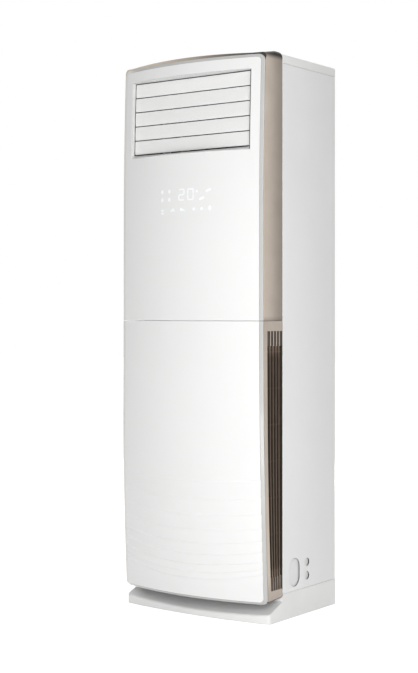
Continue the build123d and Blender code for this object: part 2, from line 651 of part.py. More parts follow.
with BuildPart() as upper_trim:
    add(trim_solid(0, upper_low, HEIGHT))
    outline = front_outline(HALF, upper_low, HEIGHT, 0, TRIM_CORNER)
    add(outline, mode=Mode.INTERSECT)
    add(TRIM_FACE, mode=Mode.INTERSECT)
    trim_front = FRONT_Y + LOUVRE_FACE
    with BuildSketch(Plane.YZ.offset(-HALF)) as side_view:
        with BuildLine():
            Polyline(
                (FRONT_Y - 10, HEIGHT - TRIM_FRONT_DROP),
                (trim_front, HEIGHT - TRIM_FRONT_DROP),
                (trim_front + TRIM_CREST, HEIGHT), (TRIM_REAR, HEIGHT),
                (TRIM_REAR, upper_low), (FRONT_Y - 10, upper_low), close=True,
            )
        make_face()
        fillet(side_view.vertices().group_by(Axis.Y)[-1].sort_by(Axis.X)[-1], TRIM_REAR_ROUND)
    extrude(amount=WIDTH, mode=Mode.INTERSECT)
    add(hoop_hole.part, mode=Mode.SUBTRACT)
save(upper_trim, "upper_trim")

SLOT_PLACES = [TRIM_REAR - SLOT_REAR - SLOT_PITCH * i for i in range(SLOT_COUNT)]
FILTER_GAP = 1.0
FILTER_FRAME = 4.0
FILTER_BAR = 5.0
FILTER_REAR = TRIM_REAR - 4.5
FILTER_FRONT = FILTER_REAR - 68.5
FILTER_LOW = GROOVE_LOW - 6
FILTER_HIGH = GROOVE_HIGH + 6
FILTER_OUTER = TRIM_FRONT_HALF - GRILLE_DEPTH - FILTER_GAP
FILTER_INNER = FILTER_OUTER - FILTER_FRAME
RAIL = 5.0

with BuildPart() as rim_room:
    add(front_outline(RIM_HALF + FIT, 0, HEIGHT))
    add(front_solid(RIM_DEPTH + SEAT), mode=Mode.SUBTRACT)

with BuildPart() as grooves:
    with BuildSketch(Plane.YZ.offset(-HALF - 1)):
        with Locations(*[(y, (GROOVE_LOW + GROOVE_HIGH) / 2) for y in SLOT_PLACES]):
            Rectangle(SLOT_WIDTH - 3, GROOVE_HIGH - GROOVE_LOW)
    extrude(amount=WIDTH + 2)
    add(trim_solid(GROOVE_DEPTH, 0, HEIGHT), mode=Mode.SUBTRACT)

with BuildPart() as ties:
    for side in (-1, 1):
        tie_x = (side * (FILTER_OUTER + FILTER_GAP), side * (HALF - GRILLE_DEPTH + TIE_BITE))
        tie_y = (SLOT_PLACES[-1] - SLOT_WIDTH / 2, SLOT_PLACES[0] + SLOT_WIDTH / 2)
        for height in TIE_HEIGHTS:
            block(tie_x, tie_y, (height - TIE_WIDTH / 2, height + TIE_WIDTH / 2))
    add(front_solid(SLOT_BORDER), mode=Mode.INTERSECT)

with BuildPart() as slots:
    with BuildSketch(Plane.YZ.offset(-HALF - 1)):
        with Locations(*[(y, (SLOT_LOW + SLOT_HIGH) / 2) for y in SLOT_PLACES]):
            Rectangle(SLOT_WIDTH, SLOT_HIGH - SLOT_LOW)
    extrude(amount=WIDTH + 2)
    add(grooves.part)
    add(front_solid(SLOT_BORDER), mode=Mode.INTERSECT)

for side, name in ((-1, "intake_grille_left"), (1, "intake_grille_right")):
    with BuildPart() as intake_grille:
        add(trim_solid(0, GRILLE_BOTTOM, lower_high))
        add(trim_solid(GRILLE_DEPTH, GRILLE_BOTTOM, lower_high), mode=Mode.SUBTRACT)
        add(TRIM_FACE, mode=Mode.INTERSECT)
        add(rim_room.part, mode=Mode.SUBTRACT)
        block((-side * HALF, 0), (FRONT_Y, BACK_Y), (0, HEIGHT), mode=Mode.SUBTRACT)
        add(slots.part, mode=Mode.SUBTRACT)
        add(ties.part.solids().filter_by(lambda tie: side * tie.center().X > 0))
        rail_x = (side * FILTER_INNER, side * (HALF - GRILLE_DEPTH + TIE_BITE))
        for low in (FILTER_LOW - SEAT - RAIL, FILTER_HIGH + SEAT):
            block(rail_x, (FILTER_FRONT, FILTER_REAR), (low, low + RAIL))
    save(intake_grille, name)

for side, name in ((-1, "filter_left"), (1, "filter_right")):
    with BuildPart() as dust_filter:
        frame_x = sorted((side * FILTER_INNER, side * FILTER_OUTER))
        mesh_x = sorted((side * (FILTER_INNER + 1.5), side * (FILTER_INNER + 2.3)))
        block(frame_x, (FILTER_FRONT, FILTER_REAR), (FILTER_LOW, FILTER_HIGH))
        bay_y = (FILTER_FRONT + FILTER_BAR, FILTER_REAR - FILTER_BAR)
        bars = [FILTER_LOW + FILTER_BAR / 2, *TIE_HEIGHTS, FILTER_HIGH - FILTER_BAR / 2]
        for low, high in zip(bars, bars[1:]):
            bay_z = (low + FILTER_BAR / 2, high - FILTER_BAR / 2)
            block(frame_x, bay_y, bay_z, mode=Mode.SUBTRACT)
        mesh_y = (FILTER_FRONT + FILTER_BAR / 2, FILTER_REAR - FILTER_BAR / 2)
        block(mesh_x, mesh_y, (FILTER_LOW + FILTER_BAR / 2, FILTER_HIGH - FILTER_BAR / 2))
    save(dust_filter, name)

# ---------------------------------------------------------------- air outlet
with BuildPart() as outlet_frame:
    outer_half = OUTLET_HALF + OUTLET_WALL
    outer = front_outline(outer_half, OUTLET_LOW - OUTLET_WALL, OUTLET_HIGH + OUTLET_WALL)
    add(outer)
    add(front_outline(OUTLET_HALF, OUTLET_LOW, OUTLET_HIGH), mode=Mode.SUBTRACT)
    add(front_solid(FIT), mode=Mode.INTERSECT)
    block((-HALF, HALF), (FRAME_REAR, BACK_Y), (0, HEIGHT), mode=Mode.SUBTRACT)
    with BuildSketch(Plane.YZ.offset(-HALF)):
        with Locations(*LOUVRE_PLACES):
            Circle(LOUVRE_PIN + RUN)
    extrude(amount=WIDTH, mode=Mode.SUBTRACT)
save(outlet_frame, "outlet_frame")

LOUVRE_HALF = OUTLET_HALF - LOUVRE_END_GAP
CRANK_X = OUTLET_HALF + OUTLET_WALL + 1.0
LINK_X = CRANK_X + CRANK_SHEET + 0.4
DRIVEN = LOUVRE_COUNT // 2

for i, (pivot_y, height) in enumerate(LOUVRE_PLACES):
    name = f"louvre_{i + 1}"
    with BuildPart() as louvre:
        blade_high = (LOUVRE_PITCH - LOUVRE_GAP) / 2
        face_y = pivot_y - LOUVRE_OFFSET
        lean = math.degrees(LOUVRE_LEANS[i])
        with BuildSketch(Plane.YZ.offset(-LOUVRE_HALF)) as section:
            with Locations(Location((pivot_y, height, 0), (0, 0, -lean))):
                with Locations((LOUVRE_THICKNESS / 2 - LOUVRE_OFFSET, 0)):
                    RectangleRounded(LOUVRE_THICKNESS, 2 * blade_high, 1.2)
        extrude(amount=2 * LOUVRE_HALF)
        for end in (-1, 1):
            web_x = sorted((end * LOUVRE_HALF, end * (LOUVRE_HALF - 3)))
            block(web_x, (face_y + 1, pivot_y + 3), (height - 8, height + 8))
            reach = CRANK_X + CRANK_SHEET if end > 0 else OUTLET_HALF + OUTLET_WALL - 0.4
            if end < 0 and i == DRIVEN:
                reach = OUTLET_HALF + OUTLET_WALL + STUB
            with BuildSketch(Plane.YZ.offset(end * (LOUVRE_HALF - 1))):
                with Locations((pivot_y, height)):
                    Circle(LOUVRE_PIN)
            extrude(amount=end * (reach - LOUVRE_HALF + 1))
        with BuildSketch(Plane.YZ.offset(CRANK_X)):
            with Locations((pivot_y + CRANK_ARM / 2, height)):
                SlotOverall(CRANK_ARM + LINK_WIDTH, LINK_WIDTH)
        extrude(amount=CRANK_SHEET)
        with BuildSketch(Plane.YZ.offset(CRANK_X)):
            with Locations((pivot_y + CRANK_ARM, height)):
                Circle(CRANK_PIN)
        extrude(amount=CRANK_SHEET + LINK_SHEET + 1.2)
    save(louvre, name)

with BuildPart() as louvre_link:
    (low_y, low_z), (high_y, high_z) = LOUVRE_PLACES[0], LOUVRE_PLACES[-1]
    with BuildSketch(Plane.YZ.offset(LINK_X)):
        with Locations(((low_y + high_y) / 2 + CRANK_ARM, OUTLET_MIDDLE)):
            length = math.hypot(high_y - low_y, high_z - low_z) + LINK_WIDTH
            slant = math.degrees(math.atan2(high_z - low_z, high_y - low_y))
            SlotOverall(length, LINK_WIDTH, rotation=slant)
        with Locations(*[(y + CRANK_ARM, z) for y, z in LOUVRE_PLACES]):
            Circle(CRANK_PIN + RUN, mode=Mode.SUBTRACT)
    extrude(amount=LINK_SHEET)
save(louvre_link, "louvre_link")

with BuildPart() as louvre_motor:
    wall_x = -OUTLET_HALF - OUTLET_WALL
    with BuildSketch(Plane.YZ.offset(wall_x)):
        with Locations(LOUVRE_PLACES[DRIVEN]):
            SlotOverall(4.2 * MOTOR_RADIUS, 7, rotation=90)
    extrude(amount=-MOTOR_BOSS)
    with BuildSketch(Plane.YZ.offset(wall_x)):
        with Locations(LOUVRE_PLACES[DRIVEN]):
            Circle(MOTOR_RADIUS)
    extrude(amount=-MOTOR_BOSS - MOTOR_LENGTH)
    with BuildSketch(Plane.YZ.offset(wall_x)):
        with Locations(LOUVRE_PLACES[DRIVEN]):
            Circle(LOUVRE_PIN + RUN)
    extrude(amount=-STUB - 1, mode=Mode.SUBTRACT)
save(louvre_motor, "louvre_motor")

with BuildPart() as outlet_duct:
    low, high = OUTLET_LOW - OUTLET_WALL, OUTLET_HIGH + OUTLET_WALL
    block((-outer_half, outer_half), (FRAME_REAR, DUCT_END), (low, high))
    block((-baffle_half, baffle_half), (BAFFLE_FRONT, CABINET_FRONT), (baffle_high, PANEL_TOP))
    inner_y = (FRAME_REAR - 1, DUCT_END + 1)
    block((-OUTLET_HALF, OUTLET_HALF), inner_y, (OUTLET_LOW, OUTLET_HIGH), mode=Mode.SUBTRACT)
    with BuildSketch(Plane.XY.offset(low - 1)):
        with Locations(*[(x, VANE_Y) for x in VANE_PLACES]):
            Circle(VANE_PIN + RUN)
    extrude(amount=high - low + 2, mode=Mode.SUBTRACT)
save(outlet_duct, "outlet_duct")

VANE_DRIVEN = VANE_COUNT // 2
VANE_CRANK_Z = OUTLET_LOW - OUTLET_WALL - 1.0 - CRANK_SHEET
VANE_LINK_Z = VANE_CRANK_Z - 0.4 - LINK_SHEET

for i, place in enumerate(VANE_PLACES):
    name = f"vane_{i + 1}"
    with BuildPart() as vane:
        low, high = OUTLET_LOW + VANE_GAP, OUTLET_HIGH - VANE_GAP
        with BuildSketch(Plane.XY.offset(low)) as section:
            with Locations((place, VANE_Y)):
                RectangleRounded(VANE_THICKNESS, VANE_CHORD, 0.8)
                Circle(VANE_PIN + 1)
        extrude(amount=high - low)
        reach = OUTLET_HIGH + OUTLET_WALL - 0.4
        if i == VANE_DRIVEN:
            reach = OUTLET_HIGH + OUTLET_WALL + STUB
        with BuildSketch(Plane.XY.offset(VANE_CRANK_Z)):
            with Locations((place, VANE_Y)):
                Circle(VANE_PIN)
        extrude(amount=reach - VANE_CRANK_Z)
        with BuildSketch(Plane.XY.offset(VANE_CRANK_Z)):
            with Locations((place, VANE_Y + CRANK_ARM / 2)):
                SlotOverall(CRANK_ARM + LINK_WIDTH, LINK_WIDTH, rotation=90)
        extrude(amount=CRANK_SHEET)
        with BuildSketch(Plane.XY.offset(VANE_LINK_Z - 0.8)):
            with Locations((place, VANE_Y + CRANK_ARM)):
                Circle(CRANK_PIN)
        extrude(amount=LINK_SHEET + 1.2 + 1.0)
    save(vane, name)

with BuildPart() as vane_link:
    with BuildSketch(Plane.XY.offset(VANE_LINK_Z)):
        with Locations((0, VANE_Y + CRANK_ARM)):
            SlotOverall(VANE_PITCH * (VANE_COUNT - 1) + LINK_WIDTH, LINK_WIDTH)
        with Locations(*[(x, VANE_Y + CRANK_ARM) for x in VANE_PLACES]):
            Circle(CRANK_PIN + RUN, mode=Mode.SUBTRACT)
    extrude(amount=LINK_SHEET)
save(vane_link, "vane_link")

with BuildPart() as vane_motor:
    wall_z = OUTLET_HIGH + OUTLET_WALL
    place = (VANE_PLACES[VANE_DRIVEN], VANE_Y)
    with BuildSketch(Plane.XY.offset(wall_z)):
        with Locations(place):
            SlotOverall(4.2 * MOTOR_RADIUS, 7)
    extrude(amount=MOTOR_BOSS)
    with BuildSketch(Plane.XY.offset(wall_z)):
        with Locations(place):
            Circle(MOTOR_RADIUS)
    extrude(amount=MOTOR_BOSS + MOTOR_LENGTH)
    with BuildSketch(Plane.XY.offset(wall_z)):
        with Locations(place):
            Circle(VANE_PIN + RUN)
    extrude(amount=STUB + 1, mode=Mode.SUBTRACT)
save(vane_motor, "vane_motor")

with BuildPart() as foam_air_guide:
    guide_half = HALF - SIDE_FLANGE - 2
    guide_low = OUTLET_LOW - 60
    rear = CABINET_BACK - 2 * SHEET
    front = DUCT_END + 1
    roof = CAP_TOP - CAP_WALL - SEAT
    with BuildSketch(Plane.YZ.offset(-guide_half)):
        with BuildLine():
            Polyline((rear, guide_low), (rear, roof - CAP_ROUND), (rear - CAP_ROUND, roof), (front, roof))
            Line((front, roof), (front, OUTLET_HIGH))
            ThreePointArc(
                (front, OUTLET_HIGH),
                (front + 0.64 * (rear - front), guide_low + 0.72 * (OUTLET_HIGH - guide_low)),
                (rear, guide_low),
            )
        make_face()
    extrude(amount=2 * guide_half)
save(foam_air_guide, "foam_air_guide")

# ---------------------------------------------------------------- display
with BuildPart() as display_light_box:
    add(front_solid(SKIN + SEAT))
    box_rear = FRONT_Y + DISPLAY_DEPTH
    block(
        (DISPLAY_LEFT, DISPLAY_RIGHT), (FRONT_Y, box_rear), (DISPLAY_LOW, DISPLAY_HIGH),
        mode=Mode.INTERSECT,
    )
    with BuildSketch(Plane.XZ.offset(-box_rear - 1)):
        with Locations(*[(x, DISPLAY_HIGH - CELL_DROP) for x in (-74, 10, 66)]):
            Rectangle(CELL_WIDTH, CELL_HEIGHT)
        with Locations(*[(x, DISPLAY_LOW + KEY_LIFT) for x in (-92, -46, 0, 46, 76)]):
            Rectangle(KEY_SIZE, KEY_SIZE)
    extrude(amount=DISPLAY_DEPTH + 1 - SKIN - 2, mode=Mode.SUBTRACT)
save(display_light_box, "display_light_box")

with BuildPart() as display_board:
    board_x = (DISPLAY_LEFT - 6, DISPLAY_RIGHT + 6)
    board_z = (DISPLAY_LOW - 5, DISPLAY_HIGH + 5)
    board_rear = box_rear + BOARD
    block(board_x, (box_rear, board_rear), board_z)
    chip_low = DISPLAY_LOW + 38
    block((-30, 10), (board_rear, board_rear + 4), (chip_low, chip_low + 20))
    plug_low = DISPLAY_LOW + 8
    plug_x = (DISPLAY_RIGHT - 30, DISPLAY_RIGHT - 5)
    block(plug_x, (board_rear, board_rear + 7.4), (plug_low, plug_low + 12))
save(display_board, "display_board")

# ---------------------------------------------------------------- heat exchanger
tilt = math.radians(COIL_TILT)
LIQUID_START = COIL_Z + (LIQUID_Y - LIQUID_OFFSET - COIL_Y) / math.tan(tilt)
GAS_START = COIL_Z + (GAS_Y - GAS_OFFSET - COIL_Y) / math.tan(tilt)


def on_coil(along, across=0.0):
    """The y and z of a point on the coil's section, from its middle."""
    return (
        COIL_Y + along * math.sin(tilt) + across * math.cos(tilt),
        COIL_Z + along * math.cos(tilt) - across * math.sin(tilt),
    )


with BuildPart() as evaporator_fins:
    with BuildSketch(Plane.YZ.offset(-COIL_HALF)):
        with Locations((COIL_Y, COIL_Z)):
            Rectangle(COIL_THICKNESS, COIL_HEIGHT, rotation=-COIL_TILT)
    extrude(amount=2 * COIL_HALF)
save(evaporator_fins, "evaporator_fins")

with BuildPart() as evaporator_end_plates:
    foot_y = on_coil(-COIL_HEIGHT / 2)[0]
    head_y, head_z = on_coil(COIL_HEIGHT / 2 - 20)
    for side in (-1, 1):
        with BuildSketch(Plane.YZ.offset(side * COIL_HALF)):
            with Locations((COIL_Y, COIL_Z)):
                Rectangle(COIL_THICKNESS + 8, COIL_HEIGHT + 8, rotation=-COIL_TILT)
            with BuildLine():
                Polyline(
                    (foot_y - 22, DECK_TOP), (foot_y + 22, DECK_TOP),
                    (foot_y + 34, on_coil(-COIL_HEIGHT / 2 + 30)[1]),
                    (foot_y - 10, on_coil(-COIL_HEIGHT / 2 + 30)[1]), close=True,
                )
            make_face()
            with BuildLine():
                rear = CABINET_BACK - SHEET
                Polyline(
                    (head_y, head_z - 12), (rear, head_z - 12), (rear, head_z + 8),
                    (head_y, head_z + 8), close=True,
                )
            make_face()
        extrude(amount=side * END_PLATE)
    with BuildSketch(Plane.YZ.offset(COIL_HALF - 1)):
        with Locations((DRAIN_Y, SPOUT_Z)):
            Circle(DRAIN_RADIUS + 1)
    extrude(amount=END_PLATE + 2, mode=Mode.SUBTRACT)
save(evaporator_end_plates, "evaporator_end_plates")

with BuildPart() as evaporator_bends:
    bend_count = int(COIL_HEIGHT // BEND_PITCH) - 1
    places = [BEND_PITCH * (i - (bend_count - 1) / 2) for i in range(bend_count)]
    for side in (-1, 1):
        for along in places:
            y, z = on_coil(along)
            if side > 0 and z < GAS_START + 45:
                continue
            top_y, top_z = on_coil(along + BEND_RADIUS)
            facing = Plane(origin=(side * COIL_FACE, top_y, top_z), z_dir=(side, 0, 0))
            turn = Axis((side * COIL_FACE, y, z), (0, math.cos(tilt), -math.sin(tilt)))
            with BuildSketch(facing):
                Circle(BEND_TUBE)
            revolve(axis=turn, revolution_arc=side * 180)
save(evaporator_bends, "evaporator_bends")

with BuildPart() as drain_tray:
    tray_top = DECK_TOP + TRAY_HEIGHT
    block((-TRAY_HALF, TRAY_HALF), (TRAY_FRONT, TRAY_REAR), (DECK_TOP, tray_top))
    fillet(drain_tray.edges().filter_by(Axis.Z), 8)
    inner = (TRAY_FRONT + TRAY_WALL, TRAY_REAR - TRAY_WALL)
    inner_half = TRAY_HALF - TRAY_WALL
    block((-inner_half, inner_half), inner, (DECK_TOP + TRAY_WALL, tray_top + 1), mode=Mode.SUBTRACT)
    with BuildSketch(Plane.YZ.offset(TRAY_HALF - TRAY_WALL - 1)):
        with Locations((DRAIN_Y, SPOUT_Z)):
            Circle(DRAIN_RADIUS - TUBE_WALL)
    extrude(amount=TRAY_WALL + 2, mode=Mode.SUBTRACT)
save(drain_tray, "drain_tray")


def bent_tube(points, radius):
    """A drawn tube along straight runs joined by tangent arcs."""
    with BuildLine() as path:
        FilletPolyline(*points, radius=PIPE_BEND)
    start = Plane(origin=points[0], z_dir=Vector(*points[1]) - Vector(*points[0]))
    with BuildPart() as tube:
        with BuildSketch(start):
            Circle(radius)
            Circle(radius - TUBE_WALL, mode=Mode.SUBTRACT)
        sweep(path=path.wire())
    return tube.part


def union_end(y, radius, bore):
    """The threaded union that the building's pipe is screwed on to."""
    with BuildPart() as union:
        with BuildSketch(Plane.XY.offset(UNION_TOP)):
            with Locations((PIPE_X, y)):
                Circle(radius)
                Circle(bore, mode=Mode.SUBTRACT)
        extrude(amount=-UNION_LENGTH)
        with BuildSketch(Plane.XY.offset(UNION_TOP)):
            with Locations((PIPE_X, y)):
                RegularPolygon(radius + 1.5, 6)
                Circle(bore, mode=Mode.SUBTRACT)
        extrude(amount=10)
    return union.part


with BuildPart() as liquid_pipe:
    start = (COIL_FACE, LIQUID_Y, LIQUID_START)
    corner = (PIPE_X, LIQUID_Y, LIQUID_START)
    add(bent_tube([start, corner, (PIPE_X, LIQUID_Y, UNION_TOP)], LIQUID_RADIUS))
    add(union_end(LIQUID_Y, LIQUID_UNION, LIQUID_RADIUS - TUBE_WALL))
save(liquid_pipe, "liquid_pipe")

with BuildPart() as gas_pipe:
    start = (COIL_FACE, GAS_Y, GAS_START)
    corner = (PIPE_X, GAS_Y, GAS_START)
    add(bent_tube([start, corner, (PIPE_X, GAS_Y, UNION_TOP)], GAS_RADIUS))
    add(union_end(GAS_Y, GAS_UNION, GAS_RADIUS - TUBE_WALL))
save(gas_pipe, "gas_pipe")

with BuildPart() as drain_pipe:
    start = (TRAY_HALF, DRAIN_Y, SPOUT_Z)
    corner = (PIPE_X, DRAIN_Y, SPOUT_Z)
    add(bent_tube([start, corner, (PIPE_X, DRAIN_Y, UNION_TOP - UNION_LENGTH)], DRAIN_RADIUS))
save(drain_pipe, "drain_pipe")

PIPE_RUNS = ((DRAIN_Y, DRAIN_RADIUS), (LIQUID_Y, LIQUID_RADIUS), (GAS_Y, GAS_RADIUS))

with BuildPart() as pipe_clips:
    for height in CLIP_HEIGHTS:
        clip_x = (PIPE_X - GAS_RADIUS - CLIP_WALL, INNER_HALF)
        clip_y = (DRAIN_Y - DRAIN_RADIUS - CLIP_WALL, GAS_Y + GAS_RADIUS + CLIP_WALL)
        block(clip_x, clip_y, (height - CLIP_WIDTH / 2, height + CLIP_WIDTH / 2))
    with BuildSketch(Plane.XY.offset(PLINTH_HEIGHT)):
        for y, radius in PIPE_RUNS:
            with Locations((PIPE_X, y)):
                Circle(radius + PIPE_FIT)
    extrude(amount=BLOWER_DECK_HEIGHT, mode=Mode.SUBTRACT)
save(pipe_clips, "pipe_clips")

# ---------------------------------------------------------------- electrics
with BuildPart() as electric_box:
    block((BOX_LEFT, BOX_RIGHT), (BOX_FRONT, BAFFLE_FRONT), (BOX_LOW, BOX_HIGH))
    room_x = (BOX_LEFT + SHEET, BOX_RIGHT - SHEET)
    room_z = (BOX_LOW + SHEET, BOX_HIGH - SHEET)
    block(room_x, (BOX_FRONT - 1, BAFFLE_FRONT - SHEET), room_z, mode=Mode.SUBTRACT)
save(electric_box, "electric_box")

with BuildPart() as electric_box_cover:
    cover_x = (BOX_LEFT, BOX_RIGHT)
    block(cover_x, (BOX_FRONT - SHEET, BOX_FRONT), (BOX_LOW, BOX_HIGH))
    with BuildSketch(Plane.XZ.offset(-BOX_FRONT + SHEET + 1)):
        with Locations(*[((BOX_LEFT + BOX_RIGHT) / 2, BOX_LOW + 60 + 12 * i) for i in range(6)]):
            SlotOverall(90, 4)
    extrude(amount=-SHEET - 2, mode=Mode.SUBTRACT)
save(electric_box_cover, "electric_box_cover")

BOARD_BACK = BAFFLE_FRONT - SHEET - STANDOFF
CAPACITOR_PLACES = ((32, 41), (32, 76), (76, 201), (106, 201))
CAPACITOR_RADIUS = 11.0
CAPACITOR_HEIGHT = 28.0

with BuildPart() as main_board:
    board_x = (BOX_LEFT + 14, BOX_RIGHT - 102)
    board_z = (BOX_LOW + 14, BOX_HIGH - 14)
    block(board_x, (BOARD_BACK - BOARD, BOARD_BACK), board_z)
    with BuildSketch(Plane.XZ.offset(-BOARD_BACK)):
        with Locations(((board_x[0] + board_x[1]) / 2, (BOX_LOW + BOX_HIGH) / 2)):
            with GridLocations(board_x[1] - board_x[0] - 12, BOX_HIGH - BOX_LOW - 40, 2, 2):
                Circle(STANDOFF_RADIUS)
    extrude(amount=-STANDOFF)
    face = BOARD_BACK - BOARD
    left, foot = board_x[0], board_z[0]
    block((left + 16, left + 52), (face - 30, face), (foot + 181, foot + 226))
    block((left + 66, left + 100), (face - 14, face), (foot + 101, foot + 131))
    block((left + 116, left + 150), (face - 18, face), (foot + 21, foot + 91))
    with BuildSketch(Plane.XZ.offset(-face)):
        with Locations(*[(left + x, foot + z) for x, z in CAPACITOR_PLACES]):
            Circle(CAPACITOR_RADIUS)
    extrude(amount=CAPACITOR_HEIGHT)
save(main_board, "main_board")

TERMINAL_DEPTH = 18.0

with BuildPart() as terminal_block:
    plate_back = BAFFLE_FRONT - SHEET
    block_x = (BOX_RIGHT - 86, BOX_RIGHT - 8)
    block_z = (BOX_LOW + 18, BOX_LOW + 50)
    block(block_x, (plate_back - TERMINAL_DEPTH, plate_back), block_z)
    for i in range(5):
        place = block_x[0] + 8 + 15.5 * i
        bay = (plate_back - TERMINAL_DEPTH - 1, plate_back - 8)
        bay_z = (block_z[0] + 4, block_z[1] - 4)
        block((place - 5.5, place + 5.5), bay, bay_z, mode=Mode.SUBTRACT)
save(terminal_block, "terminal_block")

# ---------------------------------------------------------------- blower

def fan_plane(y):
    """A plane across the fan's axis, facing the front."""
    return Plane(origin=(FAN_X, y, FAN_Z), x_dir=(1, 0, 0), z_dir=(0, -1, 0))


def scroll_line(offset):
    """The volute and its neck in the fan's plane, drawn out by an offset."""
    first = SCROLL_START + offset
    second = first + SCROLL_STEP
    third = second + SCROLL_STEP
    step = SCROLL_STEP
    top = BLOWER_DECK_HEIGHT - FAN_Z
    neck = NECK_LEFT - offset
    with BuildSketch(Plane.XY) as volute:
        with BuildLine():
            Line((neck, top), (neck, first))
            Line((neck, first), (0, first))
            CenterArc((0, 0), first, 90, 90)
            CenterArc((step, 0), second, 180, 90)
            CenterArc((step, step), third, 270, 90)
            Line((step + third, step), (step + third, top))
            Line((step + third, top), (neck, top))
        make_face()
    return volute.sketch


plate_x = (FAN_X - SCROLL_START - 30, FAN_X + NECK_RIGHT + 14)

with BuildPart() as scroll_front_plate:
    plate_y = (SCROLL_Y - SCROLL_SHEET, SCROLL_Y)
    block(plate_x, plate_y, (PLINTH_HEIGHT, BLOWER_DECK_HEIGHT))
    with BuildSketch(fan_plane(SCROLL_Y + 1)):
        Circle(BELL_RADIUS + BELL_FLARE - 0.5)
    extrude(amount=SCROLL_SHEET + 2, mode=Mode.SUBTRACT)
    with BuildSketch(Plane.XY) as bell:
        with BuildLine():
            outer = BELL_RADIUS + BELL_FLARE
            front_y = SCROLL_Y - SCROLL_SHEET
            Line((outer, front_y), (outer, front_y + SCROLL_SHEET))
            Line((outer, front_y + SCROLL_SHEET), (BELL_RADIUS + SCROLL_SHEET, SCROLL_Y + BELL_LENGTH))
            Line((BELL_RADIUS + SCROLL_SHEET, SCROLL_Y + BELL_LENGTH), (BELL_RADIUS, SCROLL_Y + BELL_LENGTH))
            ThreePointArc(
                (BELL_RADIUS, SCROLL_Y + BELL_LENGTH),
                (BELL_RADIUS + 0.3 * BELL_FLARE, front_y + 0.35 * BELL_LENGTH),
                (outer, front_y),
            )
        make_face()
    revolve(bell.sketch.moved(Location((FAN_X, 0, FAN_Z))), axis=Axis((FAN_X, 0, FAN_Z), (0, 1, 0)))
save(scroll_front_plate, "scroll_front_plate")

with BuildPart() as blower_scroll:
    with BuildSketch(fan_plane(SCROLL_END)):
        add(scroll_line(SCROLL_SHEET))
        add(scroll_line(0), mode=Mode.SUBTRACT)
    extrude(amount=SCROLL_WIDTH)
    rear_y = (SCROLL_END, SCROLL_END + SCROLL_SHEET)
    block(plate_x, rear_y, (PLINTH_HEIGHT, BLOWER_DECK_HEIGHT))
    with BuildSketch(fan_plane(SCROLL_END + SCROLL_SHEET + 1)):
        Circle(SHAFT_RADIUS + 14)
    extrude(amount=SCROLL_SHEET + 2, mode=Mode.SUBTRACT)
save(blower_scroll, "blower_scroll")

with BuildPart() as fan_wheel:
    with BuildSketch(fan_plane(FAN_REAR)):
        Circle(FAN_RADIUS)
    extrude(amount=FAN_DISC)
    with BuildSketch(fan_plane(FAN_REAR)):
        with PolarLocations((FAN_INLET_RADIUS + FAN_RADIUS) / 2 - 0.5, FAN_BLADES):
            Rectangle(FAN_RADIUS - FAN_INLET_RADIUS + 1, 1.6, rotation=38)
    extrude(amount=FAN_WIDTH)
    with BuildSketch(fan_plane(FAN_FRONT + FAN_DISC)):
        Circle(FAN_RADIUS)
        Circle(FAN_INLET_RADIUS, mode=Mode.SUBTRACT)
    extrude(amount=FAN_DISC)
    with BuildSketch(fan_plane(FAN_REAR)):
        Circle(HUB_RADIUS)
    extrude(amount=HUB_LENGTH)
    with BuildSketch(fan_plane(FAN_REAR + 1)):
        Circle(SHAFT_RADIUS + 0.02)
    extrude(amount=HUB_LENGTH + 2, mode=Mode.SUBTRACT)
save(fan_wheel, "fan_wheel")

NUT_HEIGHT = 8.0

with BuildPart() as fan_nut:
    with BuildSketch(fan_plane(FAN_REAR - HUB_LENGTH)):
        RegularPolygon(11, 6)
        Circle(SHAFT_RADIUS + 0.02, mode=Mode.SUBTRACT)
    extrude(amount=NUT_HEIGHT)
save(fan_nut, "fan_nut")

SHAFT_END = SCROLL_END + 20

with BuildPart() as fan_shaft:
    with BuildSketch(fan_plane(SHAFT_END)):
        Circle(SHAFT_RADIUS)
    extrude(amount=SHAFT_END - (FAN_REAR - HUB_LENGTH - NUT_HEIGHT - 4))
    chamfer(fan_shaft.edges().group_by(Axis.Y)[0], 1)
save(fan_shaft, "fan_shaft")

with BuildPart() as fan_motor:
    flange_y = SCROLL_END + SCROLL_SHEET
    with BuildSketch(fan_plane(flange_y + 3)):
        Circle(FAN_FLANGE_RADIUS)
    extrude(amount=3)
    with BuildSketch(fan_plane(flange_y + 3 + FAN_MOTOR_LENGTH)):
        Circle(FAN_MOTOR_RADIUS)
    extrude(amount=FAN_MOTOR_LENGTH)
    fillet(fan_motor.edges().group_by(Axis.Y)[-1], 8)
    with BuildSketch(fan_plane(flange_y)):
        Circle(SHAFT_RADIUS + 8)
    extrude(amount=8)
    with BuildSketch(fan_plane(SHAFT_END + 1)):
        Circle(SHAFT_RADIUS + RUN)
    extrude(amount=SHAFT_END + 1 - flange_y + 10, mode=Mode.SUBTRACT)
save(fan_motor, "fan_motor")
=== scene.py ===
"""Looks of the floor standing air conditioner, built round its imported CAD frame.

Metres, in the frame of the part: the floor is z = 0, the front faces -Y and +X is to the right.
"""

import math

